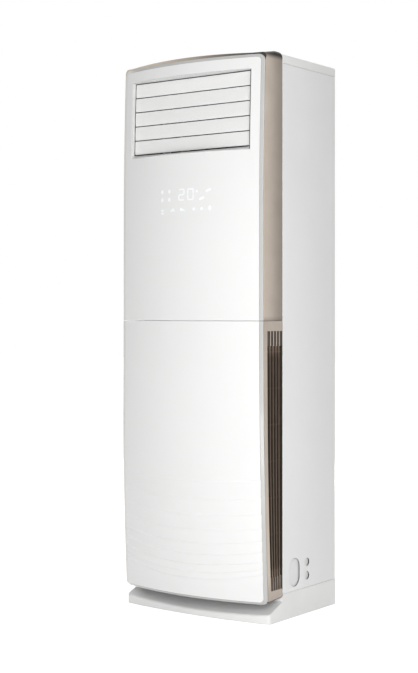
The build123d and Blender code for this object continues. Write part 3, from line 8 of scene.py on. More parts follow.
import bmesh
import bpy
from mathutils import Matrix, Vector


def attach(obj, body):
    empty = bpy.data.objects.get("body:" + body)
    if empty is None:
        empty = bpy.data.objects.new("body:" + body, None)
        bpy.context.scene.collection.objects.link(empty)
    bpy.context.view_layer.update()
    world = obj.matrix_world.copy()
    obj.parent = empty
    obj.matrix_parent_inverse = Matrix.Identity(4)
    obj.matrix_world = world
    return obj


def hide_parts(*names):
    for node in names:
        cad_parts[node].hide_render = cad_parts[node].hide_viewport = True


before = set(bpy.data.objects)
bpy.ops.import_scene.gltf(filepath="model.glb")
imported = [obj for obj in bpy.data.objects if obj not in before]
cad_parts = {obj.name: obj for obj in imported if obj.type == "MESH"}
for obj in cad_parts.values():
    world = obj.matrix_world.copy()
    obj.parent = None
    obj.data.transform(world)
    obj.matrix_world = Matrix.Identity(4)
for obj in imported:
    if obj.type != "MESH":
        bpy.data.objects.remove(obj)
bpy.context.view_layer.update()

# ---------------------------------------------------------------- base pan
# The plinth's white pan: one injection moulding with a bowed toe and a sloping top edge.
# Its satin surface comes from a finely etched mould, and every free edge is rounded.
HALF_WIDTH = 0.289
REAR_Y = 0.2335
TOE_CORNER_Y = -0.1625
TOE_BOW = 0.024
TOE_CORNER = 0.013
TOE_HEIGHT = 0.030
STEP_Y = -0.0855
STEP_LOW = 0.0615
PLINTH_TOP = 0.086
PAN_WALL = 0.003
PAN_LIFT = 0.0004
PAN_FLOOR = (0.0025, 0.0055)        # its two faces, below the pan's upper edge


def add_node(tree, kind, sockets=None, **settings):
    """A shader node with its settings, and its sockets' values or what feeds them."""
    made = tree.nodes.new("ShaderNode" + kind)
    for name, value in settings.items():
        setattr(made, name, value)
    feed(tree, made, sockets or {})
    return made


def feed(tree, node, sockets):
    """Fills a node's sockets: a value is set, and another node's output is linked."""
    for name, value in sockets.items():
        if isinstance(value, bpy.types.NodeSocket):
            tree.links.new(value, node.inputs[name])
        else:
            node.inputs[name].default_value = value


def new_material(name):
    """A new material, its node tree and its main shader."""
    material = bpy.data.materials.new(name)
    material.use_nodes = True
    return material, material.node_tree, material.node_tree.nodes["Principled BSDF"]


def object_place(tree):
    """The place on the object, which every texture is laid by."""
    return add_node(tree, "TexCoord").outputs["Object"]


def two_tones(tree, value, dark, light, span=(0.0, 1.0)):
    """The blend of a dark and a light colour over a span of a texture's value."""
    blend = add_node(tree, "ValToRGB", {"Fac": value})
    for element, position, colour in zip(blend.color_ramp.elements, span, (dark, light)):
        element.position = position
        element.color = (*colour, 1.0)
    return blend.outputs["Color"]


def surface(name, light, dark, patch, grain, rough, bump, metallic=0.0, coat=0.0, gloss=0.5):
    """A moulded, painted or drawn surface: two close tones, uneven gloss and a fine texture."""
    material, tree, shader = new_material(name)
    place = object_place(tree)
    clouds = add_node(tree, "TexNoise", {"Vector": place, "Scale": patch, "Detail": 4.0})
    texture = add_node(tree, "TexNoise", {"Vector": place, "Scale": grain, "Detail": 3.0})
    spread = add_node(tree, "MapRange", {
        "Value": texture.outputs["Fac"], "From Min": 0.3, "From Max": 0.7,
        "To Min": rough[0], "To Max": rough[1],
    })
    relief = add_node(tree, "Bump", {"Height": texture.outputs["Fac"], "Distance": bump})
    feed(tree, shader, {
        "Base Color": two_tones(tree, clouds.outputs["Fac"], dark, light, (0.3, 0.7)),
        "Metallic": metallic, "Coat Weight": coat, "Coat Roughness": 0.08,
        "Specular IOR Level": gloss, "Roughness": spread.outputs["Result"],
        "Normal": relief.outputs["Normal"],
    })
    return material


def placed(name, data):
    """An object put in the scene."""
    made = bpy.data.objects.new(name, data)
    bpy.context.scene.collection.objects.link(made)
    return made


def fitted(name, mesh, material, body, slot, *nodes):
    """A piece made of a mesh, smooth between its edges, riding on its body for CAD nodes."""
    mesh.polygons.foreach_set("use_smooth", [True] * len(mesh.polygons))
    mesh.set_sharp_from_angle(angle=math.radians(32))
    mesh.materials.append(material)
    made = placed(name, mesh)
    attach(made, body)
    if nodes:
        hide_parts(*nodes)
    return made


def piece(name, points, faces, *fitting):
    """A piece from its points and faces, with double points welded and its faces turned out."""
    mesh = bpy.data.meshes.new(name)
    mesh.from_pydata([tuple(p) for p in points], [], faces)
    welded = bmesh.new()
    welded.from_mesh(mesh)
    bmesh.ops.remove_doubles(welded, verts=welded.verts, dist=1e-6)
    bmesh.ops.recalc_face_normals(welded, faces=welded.faces)
    welded.to_mesh(mesh)
    welded.free()
    return fitted(name, mesh, *fitting)


def rings(loops, closed_path=False, caps=True):
    """Points and faces of a skin over like loops of points, one after another."""
    count = len(loops[0])
    points = [p for loop in loops for p in loop]
    faces = []
    spans = len(loops) if closed_path else len(loops) - 1
    for i in range(spans):
        a, b = i * count, (i + 1) % len(loops) * count
        for j in range(count):
            k = (j + 1) % count
            faces.append((a + j, a + k, b + k, b + j))
    if caps and not closed_path:
        faces.append(tuple(range(count)))
        faces.append(tuple(range(len(points) - count, len(points))))
    return points, faces


def toe_outline(inset, steps=40):
    """The plinth in plan, from its rear left corner round the bowed toe to its rear right one."""
    half = HALF_WIDTH - inset
    round_ = TOE_CORNER - inset
    bow = (half**2 + TOE_BOW**2) / (2 * TOE_BOW)
    centre_y = TOE_CORNER_Y + inset - TOE_BOW + bow
    corner_x = half - round_
    corner_y = centre_y - math.sqrt((bow - round_) ** 2 - corner_x**2)
    swing = math.asin(corner_x / (bow - round_))
    right = []
    for i in range(steps // 2 + 1):
        turn = swing * i / (steps // 2)
        right.append((bow * math.sin(turn), centre_y - bow * math.cos(turn)))
    for i in range(1, 9):
        turn = swing + (math.pi / 2 - swing) * i / 8
        right.append((corner_x + round_ * math.sin(turn), corner_y - round_ * math.cos(turn)))
    right += [(half, STEP_Y - 0.00001), (half, STEP_Y), (half, REAR_Y - inset)]
    return [(-x, y) for x, y in reversed(right[1:])] + right


def pan_top(y):
    """Height of the pan's upper edge."""
    if y >= STEP_Y:
        return PLINTH_TOP
    return TOE_HEIGHT + (y - TOE_CORNER_Y) * (STEP_LOW - TOE_HEIGHT) / (STEP_Y - TOE_CORNER_Y)


pan_white = surface(
    "pan_white", (0.855, 0.855, 0.845), (0.82, 0.82, 0.81), 9, 1400, (0.42, 0.56), 0.00006,
    gloss=0.3,
)
outer, inner = toe_outline(0), toe_outline(PAN_WALL)
walls = []
for (x, y), (u, v) in zip(outer, inner):
    top = pan_top(y)
    across = Vector((u - x, v - y, 0)) / PAN_WALL
    edge = Vector((x, y, 0))
    profile = [
        (0.0, PAN_LIFT + 0.0014), (0.0004, PAN_LIFT + 0.0004), (0.0014, PAN_LIFT),
        (PAN_WALL, PAN_LIFT), (PAN_WALL, top), (0.0016, top), (0.0008, top - 0.0002),
        (0.0002, top - 0.0008), (0.0, top - 0.0016),
    ]
    walls.append([edge + across * d + Vector((0, 0, z)) for d, z in profile])
points, faces = rings(walls, closed_path=True)
start = len(points)
count = len(inner)
points += [(x, y, pan_top(y) - drop) for drop in PAN_FLOOR for x, y in inner]
faces += [
    (start + i, start + (i + 1) % count, start + count + (i + 1) % count, start + count + i)
    for i in range(count)
]
front_part = [i for i, (_, y) in enumerate(inner) if y < STEP_Y]
rear_part = [i for i, (_, y) in enumerate(inner) if y >= STEP_Y]
for level in (start, start + count):
    faces.append(tuple(level + i for i in front_part))
    faces.append(tuple(level + i for i in rear_part))
    first, last = front_part[0], front_part[-1]
    faces.append((level + first, level + last, level + last + 1, level + first - 1))
piece("pan_shell", points, faces, pan_white, "cabinet", "plinth_white", "base_pan")

# ---------------------------------------------------------------- plinth deck
# The grey sloping deck that drops into the pan's rebate in front of the cabinet.
# It is a matt moulding with an even grain, and it is clipped from below.
DECK_GAP = 0.0032
DECK_THICKNESS = 0.0025


def soften(made, width, segments=2):
    """Rounds a piece's sharp edges, as a mould or a folded sheet leaves them."""
    bevel = made.modifiers.new("rounded_edges", "BEVEL")
    bevel.width = width
    bevel.segments = segments
    bevel.limit_method = "ANGLE"
    bevel.angle_limit = math.radians(35)
    bevel.harden_normals = True
    return made


deck_grey = surface(
    "deck_grey", (0.84, 0.84, 0.835), (0.80, 0.80, 0.795), 14, 1800, (0.45, 0.62), 0.00009
)
plan = [(x, y) for x, y in toe_outline(DECK_GAP) if y < STEP_Y - 0.0005]
plan = [(plan[0][0], STEP_Y - 0.0003)] + plan + [(plan[-1][0], STEP_Y - 0.0003)]
plan = [p for i, p in enumerate(plan) if i == 0 or math.dist(p, plan[i - 1]) > 0.0004]
loops = [[(x, y, pan_top(y) - drop) for x, y in plan] for drop in (0.0, DECK_THICKNESS)]
points, faces = rings(loops)
deck = piece("deck_plate", points, faces, deck_grey, "cabinet", "plinth_grey", "plinth_deck")
soften(deck, 0.0005)

# ---------------------------------------------------------------- levelling feet
# Four black rubber pads on threaded studs, screwed up into the pan.
# The rim of each pad is ribbed, so that it can be turned by hand.
FOOT_HEIGHT = 0.012
FOOT_RIB = 0.0005
STUD_RADIUS = 0.005
STUD_TOP = 0.079
FOOT_PLACES = [(x, y) for x in (-0.234, 0.234) for y in (-0.0595, 0.1885)]


def circle(radius, steps, first=0.0):
    """Points round a circle, as pairs."""
    turns = [2 * math.pi * (i + first) / steps for i in range(steps)]
    return [(radius * math.cos(turn), radius * math.sin(turn)) for turn in turns]


def join(shape, points, faces):
    """Adds a closed shape's points and faces to those of a piece."""
    faces += [tuple(i + len(points) for i in face) for face in shape[1]]
    points += shape[0]


foot_black = surface(
    "foot_rubber", (0.030, 0.030, 0.031), (0.020, 0.020, 0.021), 60, 900, (0.6, 0.8), 0.0002
)
points, faces = [], []
for x, y in FOOT_PLACES:
    loops = []
    for radius, height, rib in (
        (0.0150, 0.0, 0), (0.0168, 0.0006, 0), (0.0174, 0.0016, 1), (0.0176, 0.0062, 1),
        (0.0168, 0.0074, 0), (0.0120, 0.0082, 0), (0.0120, FOOT_HEIGHT, 0),
        (STUD_RADIUS, FOOT_HEIGHT + 0.0004, 0), (STUD_RADIUS, STUD_TOP, 0),
    ):
        loop = []
        for i, (u, v) in enumerate(circle(radius, 72)):
            share = 1 - rib * FOOT_RIB / radius if i % 3 == 0 else 1
            loop.append((x + u * share, y + v * share, height))
        loops.append(loop)
    join(rings(loops), points, faces)
piece("foot_pads", points, faces, foot_black, "cabinet", "rubber", "levelling_feet")

# ---------------------------------------------------------------- side panels
# Left and right panels of 1.2 mm steel sheet, folded at both long edges and powder coated.
# The knock-outs for the pipes and cables are pressed through near the floor.
SHEET = 0.0012
PANEL_FRONT = -0.0875
PANEL_LOW = 0.0866
PANEL_HIGH = 1.7702         # the sides' upper edge, a shadow gap below the cap
PANEL_TOP = 1.771           # the cap's lower edge
FLANGE = 0.016
BEND = 0.0016
FOLD_REAR = REAR_Y - SHEET - 0.0002
PIPE_HOLE = (-0.0187, 0.145, 0.031, 0.015)     # y, z, radius, half the straight part
CABLE_HOLES = ((0.0565, 0.124, 0.0135, 0.0), (0.0565, 0.168, 0.0135, 0.0))


def shaded(material, *spans):
    """Paints light and shade into a finish's colour along an axis: each span gives the axis, two
    places and two shares.
    """
    tree = material.node_tree
    shader = tree.nodes["Principled BSDF"]
    colour = shader.inputs["Base Color"].links[0].from_socket
    split = add_node(tree, "SeparateXYZ", {"Vector": object_place(tree)})
    for axis, start, end, first, last in spans:
        fade = add_node(tree, "MapRange", {
            "Value": split.outputs[axis], "From Min": start, "From Max": end,
            "To Min": first, "To Max": last,
        }, interpolation_type="SMOOTHSTEP")
        scale = add_node(
            tree, "VectorMath", {0: colour, "Scale": fade.outputs["Result"]}, operation="SCALE"
        )
        colour = scale.outputs["Vector"]
    feed(tree, shader, {"Base Color": colour})
    return material


# Painted shade: the sides and the rear panel are a little lighter at the front and darker towards the
# rear.
panel_white_painted_shade = shaded(
    surface(
        "panel_powder_coat", (0.83, 0.835, 0.83), (0.805, 0.81, 0.805), 5, 1100, (0.30, 0.42),
        0.00010,
    ),
    ("Y", -0.0875, 0.2335, 1.02, 0.94),
)


def obround(y, z, radius, straight, steps=28):
    """A round or obround outline, as y and z pairs."""
    return [(y + u, z + math.copysign(straight, v) + v) for u, v in circle(radius, steps, 0.5)]


def thicken(made, thickness, outward):
    """Gives an open sheet its wall, behind the face that looks outward."""
    face = max(made.data.polygons, key=lambda polygon: polygon.area)
    if face.normal.dot(Vector(outward)) < 0:
        made.data.flip_normals()
    wall = made.modifiers.new("wall", "SOLIDIFY")
    wall.thickness = thickness
    wall.offset = -1
    return wall


for side, name in ((-1, "side_panel_left"), (1, "side_panel_right")):
    face_x = side * HALF_WIDTH
    sheet = bmesh.new()
    corners = {}
    edge_y = (PANEL_FRONT + BEND, FOLD_REAR - BEND)
    for y in edge_y:
        for z in (PANEL_LOW, PANEL_HIGH):
            corners[y, z] = sheet.verts.new((face_x, y, z))
    border = [
        corners[edge_y[0], PANEL_LOW], corners[edge_y[1], PANEL_LOW],
        corners[edge_y[1], PANEL_HIGH], corners[edge_y[0], PANEL_HIGH],
    ]
    edges = [sheet.edges.new((a, b)) for a, b in zip(border, border[1:] + border[:1])]
    for hole in (PIPE_HOLE, *CABLE_HOLES):
        ring = [sheet.verts.new((face_x, y, z)) for y, z in obround(*hole)]
        edges += [sheet.edges.new((a, b)) for a, b in zip(ring, ring[1:] + ring[:1])]
    bmesh.ops.triangle_fill(sheet, use_beauty=True, edges=edges)
    for y, way in ((edge_y[0], -1), (edge_y[1], 1)):
        last = (corners[y, PANEL_LOW], corners[y, PANEL_HIGH])
        profile = [
            (BEND * (1 - math.cos(a)), BEND * math.sin(a))
            for a in (math.radians(18 * i) for i in range(1, 6))
        ]
        profile.append((FLANGE, BEND))
        for inward, forward in profile:
            new = [
                sheet.verts.new((face_x - side * inward, y + way * forward, z))
                for z in (PANEL_LOW, PANEL_HIGH)
            ]
            sheet.faces.new((last[0], last[1], new[1], new[0]))
            last = new
    bmesh.ops.recalc_face_normals(sheet, faces=sheet.faces)
    mesh = bpy.data.meshes.new(name + "_sheet")
    sheet.to_mesh(mesh)
    sheet.free()
    panel = fitted(name + "_sheet", mesh, panel_white_painted_shade, "cabinet", "cabinet_white", name)
    thicken(panel, SHEET, (side, 0, 0)).use_even_offset = True
    panel.modifiers.new("flat_faces", "WEIGHTED_NORMAL").keep_sharp = True

# ---------------------------------------------------------------- knock-out covers
# Thin white pressings that close the pipe and cable knock-outs from inside.
# They sit a few millimetres behind the panel's face, and a hammer knocks them out.
PIPE_RECESS = 0.0045
CABLE_RECESS = 0.0055
COVER_LAP = 0.003
COVER_RINGS = ((1.0, -0.0013), (1.0, -0.0004), (0.97, 0.0), (0.6, 0.0006), (0.3, 0.0006))

cover_white = surface(
    "cover_powder_coat", (0.80, 0.805, 0.80), (0.77, 0.775, 0.77), 12, 1100, (0.32, 0.45), 0.00010
)
for name, node, recess, holes in (
    ("pipe_cover_plates", "pipe_covers", PIPE_RECESS, (PIPE_HOLE,)),
    ("cable_hole_caps", "hole_caps", CABLE_RECESS, CABLE_HOLES),
):
    points, faces = [], []
    for side in (-1, 1):
        face_x = side * (HALF_WIDTH - recess)
        for y, z, radius, straight in holes:
            reach = radius + COVER_LAP
            join(rings([
                [(face_x + side * out, u, v) for u, v in obround(y, z, share * reach, straight, 40)]
                for share, out in COVER_RINGS
            ]), points, faces)
    piece(name, points, faces, cover_white, "cabinet", "cabinet_white", node)

# ---------------------------------------------------------------- rear panel
# One sheet of 1.2 mm steel behind the cabinet, powder coated like the sides.
# Long beads are pressed outwards across it, so that it doesn't drum, and ten screws hold it.
REAR_HALF = 0.2876
BEAD_HALF = 0.215
BEAD_WIDTH = 0.009
BEAD_RISE = 0.0013
BEADS = [0.250 + 0.235 * i for i in range(6)]


def bead(x, z):
    """How far the rear panel's beads stand out at x and z."""
    rise = 0.0
    for height in BEADS:
        reach = math.hypot(max(abs(x) - BEAD_HALF, 0.0), z - height) / BEAD_WIDTH
        if reach < 1:
            rise = BEAD_RISE * (0.5 + 0.5 * math.cos(math.pi * reach)) ** 0.7
    return rise


def grid(width, height):
    """The faces between a grid's points, each with its column and row."""
    for j in range(height - 1):
        for i in range(width - 1):
            a = j * width + i
            yield i, j, (a, a + 1, a + width + 1, a + width)


bead_steps = [BEAD_WIDTH * i / 5 for i in range(-5, 6)]
across = [REAR_HALF * share for share in (-1, -0.9, -0.6, -0.3, 0, 0.3, 0.6, 0.9, 1)]
across = sorted(across + [side * (BEAD_HALF + step) for side in (-1, 1) for step in bead_steps])
rows = sorted([PLINTH_TOP, PANEL_TOP] + [z + step for z in BEADS for step in bead_steps])
points = [(x, REAR_Y + bead(x, z), z) for z in rows for x in across]
faces = [face for _, _, face in grid(len(across), len(rows))]
rear_sheet = piece(
    "rear_sheet", points, faces, panel_white_painted_shade, "cabinet", "cabinet_white", "rear_panel"
)
thicken(rear_sheet, SHEET, (0, 1, 0))

# ---------------------------------------------------------------- wall bracket
# A galvanised plate on the rear panel with two screw holes, against tipping over.
# Its edges are broken, and the zinc on it has set in large pale crystals.


def galvanised_steel(name, light, dark, crystals, rough):
    """Hot-dip galvanised sheet: flat crystals of slightly different tone and gloss."""
    material, tree, shader = new_material(name)
    spangle = add_node(tree, "TexVoronoi", {"Vector": object_place(tree), "Scale": crystals})
    gloss = add_node(tree, "MapRange", {
        "Value": spangle.outputs["Color"], "To Min": rough[0], "To Max": rough[1],
    })
    relief = add_node(tree, "Bump", {"Height": spangle.outputs["Distance"], "Distance": 0.00003})
    feed(tree, shader, {
        "Base Color": two_tones(tree, spangle.outputs["Color"], dark, light), "Metallic": 0.9,
        "Roughness": gloss.outputs["Result"], "Normal": relief.outputs["Normal"],
    })
    return material


def dress(material, *nodes, edge=0.0):
    """Gives CAD nodes their finish and, where they need it, broken edges."""
    for node in nodes:
        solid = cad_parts[node]
        if not solid.material_slots:
            solid.data.materials.append(material)
        for place in solid.material_slots:
            place.material = material
        if edge:
            soften(solid, edge)


zinc = galvanised_steel("zinc_spangle", (0.62, 0.63, 0.64), (0.46, 0.47, 0.49), 70, (0.30, 0.48))
dress(zinc, "wall_bracket", edge=0.0004)

# ---------------------------------------------------------------- cabinet screws
# Ten plated pan-head screws with cross recesses, five down each edge of the rear panel.
# They go through the panel into the flanges of the sides.
SCREW_PLACES = [(x, 0.110 + 0.410 * row) for x in (-0.281, 0.281) for row in range(5)]
SCREW_HEAD = 0.004
SCREW_RISE = 0.0019
SHANK = 0.0019
RECESS_REACH = 0.0017
RECESS_HALF = 0.00042
RECESS_SINK = 0.0009

screw_zinc = surface(
    "screw_zinc", (0.66, 0.65, 0.61), (0.52, 0.51, 0.48), 900, 4000, (0.22, 0.36), 0.00002,
    metallic=1.0,
)
points, faces = [], []
for x, z in SCREW_PLACES:
    loops = []
    for radius, rise in (
        (SHANK, -SHEET), (SHANK, 0.0), (SCREW_HEAD, 0.0), (SCREW_HEAD, 0.0005),
        (0.0037, 0.0011), (0.0030, 0.0016), (0.0022, SCREW_RISE), (0.0018, SCREW_RISE),
        (0.0016, SCREW_RISE), (0.0008, SCREW_RISE), (0.0004, SCREW_RISE),
    ):
        loop = []
        for u, v in circle(radius, 48):
            crossed = radius < RECESS_REACH and min(abs(u), abs(v)) < RECESS_HALF
            loop.append((x + u, REAR_Y + rise - (RECESS_SINK if crossed else 0.0), z + v))
        loops.append(loop)
    join(rings(loops), points, faces)
piece("rear_screws", points, faces, screw_zinc, "cabinet", "bright_steel", "cabinet_screws")

# ---------------------------------------------------------------- top cover
# A white moulded cap over the cabinet, rounded along its top edges and open underneath.
# It drops over the side panels and is screwed to the rear panel.
CAP_TOP = 1.800
CAP_ROUND = 0.007
CAP_WALL = 0.002
CAP_RIB = 0.004

cap_white = surface(
    "cap_white", (0.825, 0.825, 0.815), (0.80, 0.80, 0.79), 7, 1300, (0.34, 0.46), 0.00006
)
half, y0, y1 = HALF_WIDTH, PANEL_FRONT, REAR_Y


def cap_loop(inset, z, corner=0.0015):
    """The cap's outline in plan at a height, drawn in by an inset."""
    loop = []
    for x, y, first in ((half, y0, -90), (half, y1, 0), (-half, y1, 90), (-half, y0, 180)):
        cx = x - math.copysign(corner + inset, x)
        cy = y + (corner + inset if y == y0 else -corner - inset)
        for i in range(5):
            turn = math.radians(first + 22.5 * i)
            loop.append((cx + corner * math.cos(turn), cy + corner * math.sin(turn), z))
    return loop


loops = [cap_loop(CAP_WALL, PANEL_TOP), cap_loop(0.0, PANEL_TOP)]
for i in range(9):
    turn = math.radians(90 * i / 8)
    loops.append(cap_loop(
        CAP_ROUND * (1 - math.cos(turn)), CAP_TOP - CAP_ROUND + CAP_ROUND * math.sin(turn)
    ))
points, faces = rings(loops, caps=False)
count = len(loops[0])
faces.append(tuple(range(len(points) - count, len(points))))
start = len(points)
points += cap_loop(CAP_WALL, CAP_TOP - CAP_WALL - CAP_RIB)
faces += [(i, (i + 1) % count, start + (i + 1) % count, start + i) for i in range(count)]
faces.append(tuple(range(start, start + count)))
piece("cap_shell", points, faces, cap_white, "cabinet", "cabinet_white", "top_cover")

# ---------------------------------------------------------------- inner sheet metal
# The blower's deck and the front baffle: galvanised sheets that divide the cabinet.
# They are riveted to the sides' flanges, and keep the crystals of the zinc.
sheet_zinc = galvanised_steel(
    "sheet_spangle", (0.60, 0.61, 0.62), (0.44, 0.45, 0.47), 45, (0.34, 0.5)
)
dress(sheet_zinc, "blower_deck", "front_baffle", edge=0.0003)

# ---------------------------------------------------------------- blower
# A backward volute of galvanised sheet round a moulded wheel, on the shaft of a steel motor.
# The wheel is grey filled plastic, and a nut holds its hub on the shaft.
wheel_grey = surface(
    "wheel_grey", (0.20, 0.205, 0.21), (0.155, 0.16, 0.165), 30, 1500, (0.42, 0.6), 0.00012
)
motor_paint = surface(
    "motor_paint", (0.060, 0.062, 0.066), (0.040, 0.041, 0.044), 24, 700, (0.35, 0.5), 0.00010,
    coat=0.2,
)
bright_steel = surface(
    "bright_steel", (0.70, 0.70, 0.69), (0.55, 0.55, 0.54), 400, 3000, (0.18, 0.30), 0.00002,
    metallic=1.0,
)
dress(sheet_zinc, "blower_scroll", "scroll_front_plate", edge=0.0003)
dress(wheel_grey, "fan_wheel")
dress(motor_paint, "fan_motor", edge=0.0008)
dress(bright_steel, "fan_shaft", "fan_nut", edge=0.0003)

# ---------------------------------------------------------------- heat exchanger
# A leaning block of thin blue-coated aluminium fins on copper tubes, between two end plates.
# The hairpin bends show at its ends, and a moulded tray under it catches the water.
FIN_PITCH = 0.0016


def fin_block(name, coat_tone, painted_gap_shade):
    """Closely stacked fins: fine upright lines across the block, with a little unevenness and painted
    shade in the gaps between them.
    """
    material, tree, shader = new_material(name)
    stack = add_node(tree, "TexWave", {
        "Vector": object_place(tree), "Scale": 1 / (20 * FIN_PITCH), "Distortion": 0.4,
    }, bands_direction="X")
    relief = add_node(tree, "Bump", {"Height": stack.outputs["Fac"], "Distance": 0.0006})
    feed(tree, shader, {
        "Base Color": two_tones(tree, stack.outputs["Fac"], painted_gap_shade, coat_tone),
        "Metallic": 0.6, "Roughness": 0.38, "Normal": relief.outputs["Normal"],
    })
    return material


fin_blue = fin_block("fin_blue", (0.36, 0.52, 0.62), (0.03, 0.045, 0.06))
tube_copper = surface(
    "tube_copper", (0.78, 0.42, 0.28), (0.55, 0.27, 0.17), 90, 900, (0.22, 0.40), 0.00004,
    metallic=1.0,
)
tray_grey = surface(
    "tray_grey", (0.46, 0.47, 0.47), (0.40, 0.41, 0.41), 18, 1200, (0.45, 0.6), 0.00010
)
dress(fin_blue, "evaporator_fins")
dress(sheet_zinc, "evaporator_end_plates", edge=0.0003)
dress(tube_copper, "evaporator_bends")
dress(tray_grey, "drain_tray", edge=0.0005)

# ---------------------------------------------------------------- pipes
# The liquid and gas pipes of drawn copper with brass unions, and the grey drain hose.
# Black nylon clips hold them to the right side panel.
hose_grey = surface(
    "hose_grey", (0.42, 0.43, 0.44), (0.36, 0.37, 0.38), 40, 800, (0.40, 0.55), 0.00015
)
clip_nylon = surface(
    "clip_nylon", (0.028, 0.028, 0.030), (0.018, 0.018, 0.019), 120, 1600, (0.40, 0.55), 0.00010
)
dress(tube_copper, "liquid_pipe", "gas_pipe")
dress(hose_grey, "drain_pipe")
dress(clip_nylon, "pipe_clips", edge=0.0004)

# ---------------------------------------------------------------- electric box
# A folded galvanised box with a lid over the control board and a black terminal block.
# The board is green, with copper runs under its lacquer.
box_zinc = galvanised_steel(
    "box_spangle", (0.64, 0.65, 0.66), (0.50, 0.51, 0.52), 60, (0.30, 0.45)
)


def circuit_board(name, lacquer, run_tone):
    """Green lacquered board: right-angled runs that show a little through the lacquer."""
    shade = tuple(0.75 * c for c in lacquer)
    material = surface(name, lacquer, shade, 60, 1800, (0.22, 0.34), 0.00003)
    tree = material.node_tree
    shader = tree.nodes["Principled BSDF"]
    plain = shader.inputs["Base Color"].links[0].from_socket
    upright = add_node(
        tree, "Mapping", {"Vector": object_place(tree), "Rotation": (math.pi / 2, 0, 0)}
    )
    runs = add_node(tree, "TexBrick", {
        "Vector": upright.outputs["Vector"], "Color1": plain, "Color2": plain,
        "Mortar": (*run_tone, 1.0), "Scale": 90, "Mortar Size": 0.06,
    })
    feed(tree, shader, {"Base Color": runs.outputs["Color"]})
    return material


board_green = circuit_board("board_green", (0.020, 0.140, 0.060), (0.05, 0.24, 0.09))
terminal_nylon = surface(
    "terminal_nylon", (0.030, 0.030, 0.032), (0.018, 0.018, 0.020), 90, 1400, (0.35, 0.5), 0.00010
)
dress(box_zinc, "electric_box", "electric_box_cover", edge=0.0003)
dress(board_green, "main_board", edge=0.0002)
dress(terminal_nylon, "terminal_block", edge=0.0003)

# ---------------------------------------------------------------- outlet duct and vanes
# Behind the louvres: a moulded duct with six upright vanes, joined by a link below it.
# A small geared motor on the duct's roof turns the fourth vane.
duct_grey = surface(
    "duct_grey", (0.075, 0.075, 0.075), (0.060, 0.060, 0.060), 12, 1300, (0.40, 0.55), 0.00008
)
vane_grey = surface(
    "vane_grey", (0.110, 0.110, 0.110), (0.090, 0.090, 0.090), 20, 1500, (0.35, 0.5), 0.00006
)
motor_can = surface(
    "motor_can", (0.62, 0.60, 0.55), (0.50, 0.48, 0.44), 120, 2200, (0.25, 0.38), 0.00003,
    metallic=0.9,
)
dress(duct_grey, "outlet_duct", edge=0.0004)
dress(vane_grey, *[f"vane_{i}" for i in range(1, 7)], "vane_link", edge=0.0003)
dress(motor_can, "vane_motor", edge=0.0006)

# ---------------------------------------------------------------- foam air guide
# A block of black expanded foam cut to a curve, which turns the air towards the outlet.
# Its beads show as a fine cellular grain.
foam_black = surface(
    "foam_beads", (0.060, 0.060, 0.060), (0.035, 0.035, 0.035), 260, 420, (0.75, 0.92), 0.0006
)
dress(foam_black, "foam_air_guide")

# ---------------------------------------------------------------- outlet frame
# A white moulded sleeve in the upper skin's window, open in front and behind.
# Its sill slopes up from the skin to the lowest louvre; its right lip and inner faces carry painted
# shade.
# It starts from the unit's bowed face, swept back to the floor and leaning back above the crown.
BOW_Y = 0.6445
BOW_RADIUS = 0.880
SWEEP_Y = 9.5645
BEND_Z = 0.680
CROWN_Y = 11.5145
CROWN_Z = 1.250
LEAN_RADIUS = CROWN_Y - BOW_Y + BOW_RADIUS
LOUVRE_FACE_Y = -0.1875
SLEEVE_REAR = -0.1535
SLEEVE_OUTER = (0.2410, 1.4988, 1.7435)
SLEEVE_SHELL = (0.2410, 1.4892, 1.7435)
SLEEVE_INNER = (0.2378, 1.5013, 1.7425)
SLEEVE_LIP = (0.2399, 1.4903, 1.7434)
SLEEVE_EDGE = (0.2374, 1.4909, 1.7428)
# Depth behind which the sleeve's inner faces are painted dark as shade.
PAINTED_SHADE_Y = LOUVRE_FACE_Y + 0.006

sleeve_white = surface(
    "sleeve_white", (0.78, 0.78, 0.77), (0.755, 0.755, 0.745), 12, 900, (0.24, 0.36), 0.00005
)


def front_y(x, z, inset=0.0):
    """Where the bowed front face, set back by an inset, lies at x and z."""
    upright = BOW_Y - math.sqrt((BOW_RADIUS - inset) ** 2 - x * x)
    if BEND_Z <= z <= CROWN_Z:
        return upright
    hinge_y, hinge_z = (SWEEP_Y, BEND_Z) if z < BEND_Z else (CROWN_Y, CROWN_Z)
    return hinge_y - math.sqrt((hinge_y - upright) ** 2 - (hinge_z - z) ** 2)


def leaning_y(y, z):
    """A plane's depth at z, where it leans back with the crown of the front face."""
    return y + LEAN_RADIUS - math.sqrt(LEAN_RADIUS**2 - (z - CROWN_Z) ** 2)


def sleeve_loop(size, depth):
    """A rectangle round the outlet, whose depth is worked out at each of its points."""
    half, low, high = size
    across = [half * (i / 12 - 1) for i in range(25)]
    upright = [low + (high - low) * i / 6 for i in range(1, 6)]
    path = [(x, low) for x in across] + [(half, z) for z in upright]
    path += [(-x, high) for x in across] + [(-half, z) for z in reversed(upright)]
    return [(x, depth(x, z), z) for x, z in path]


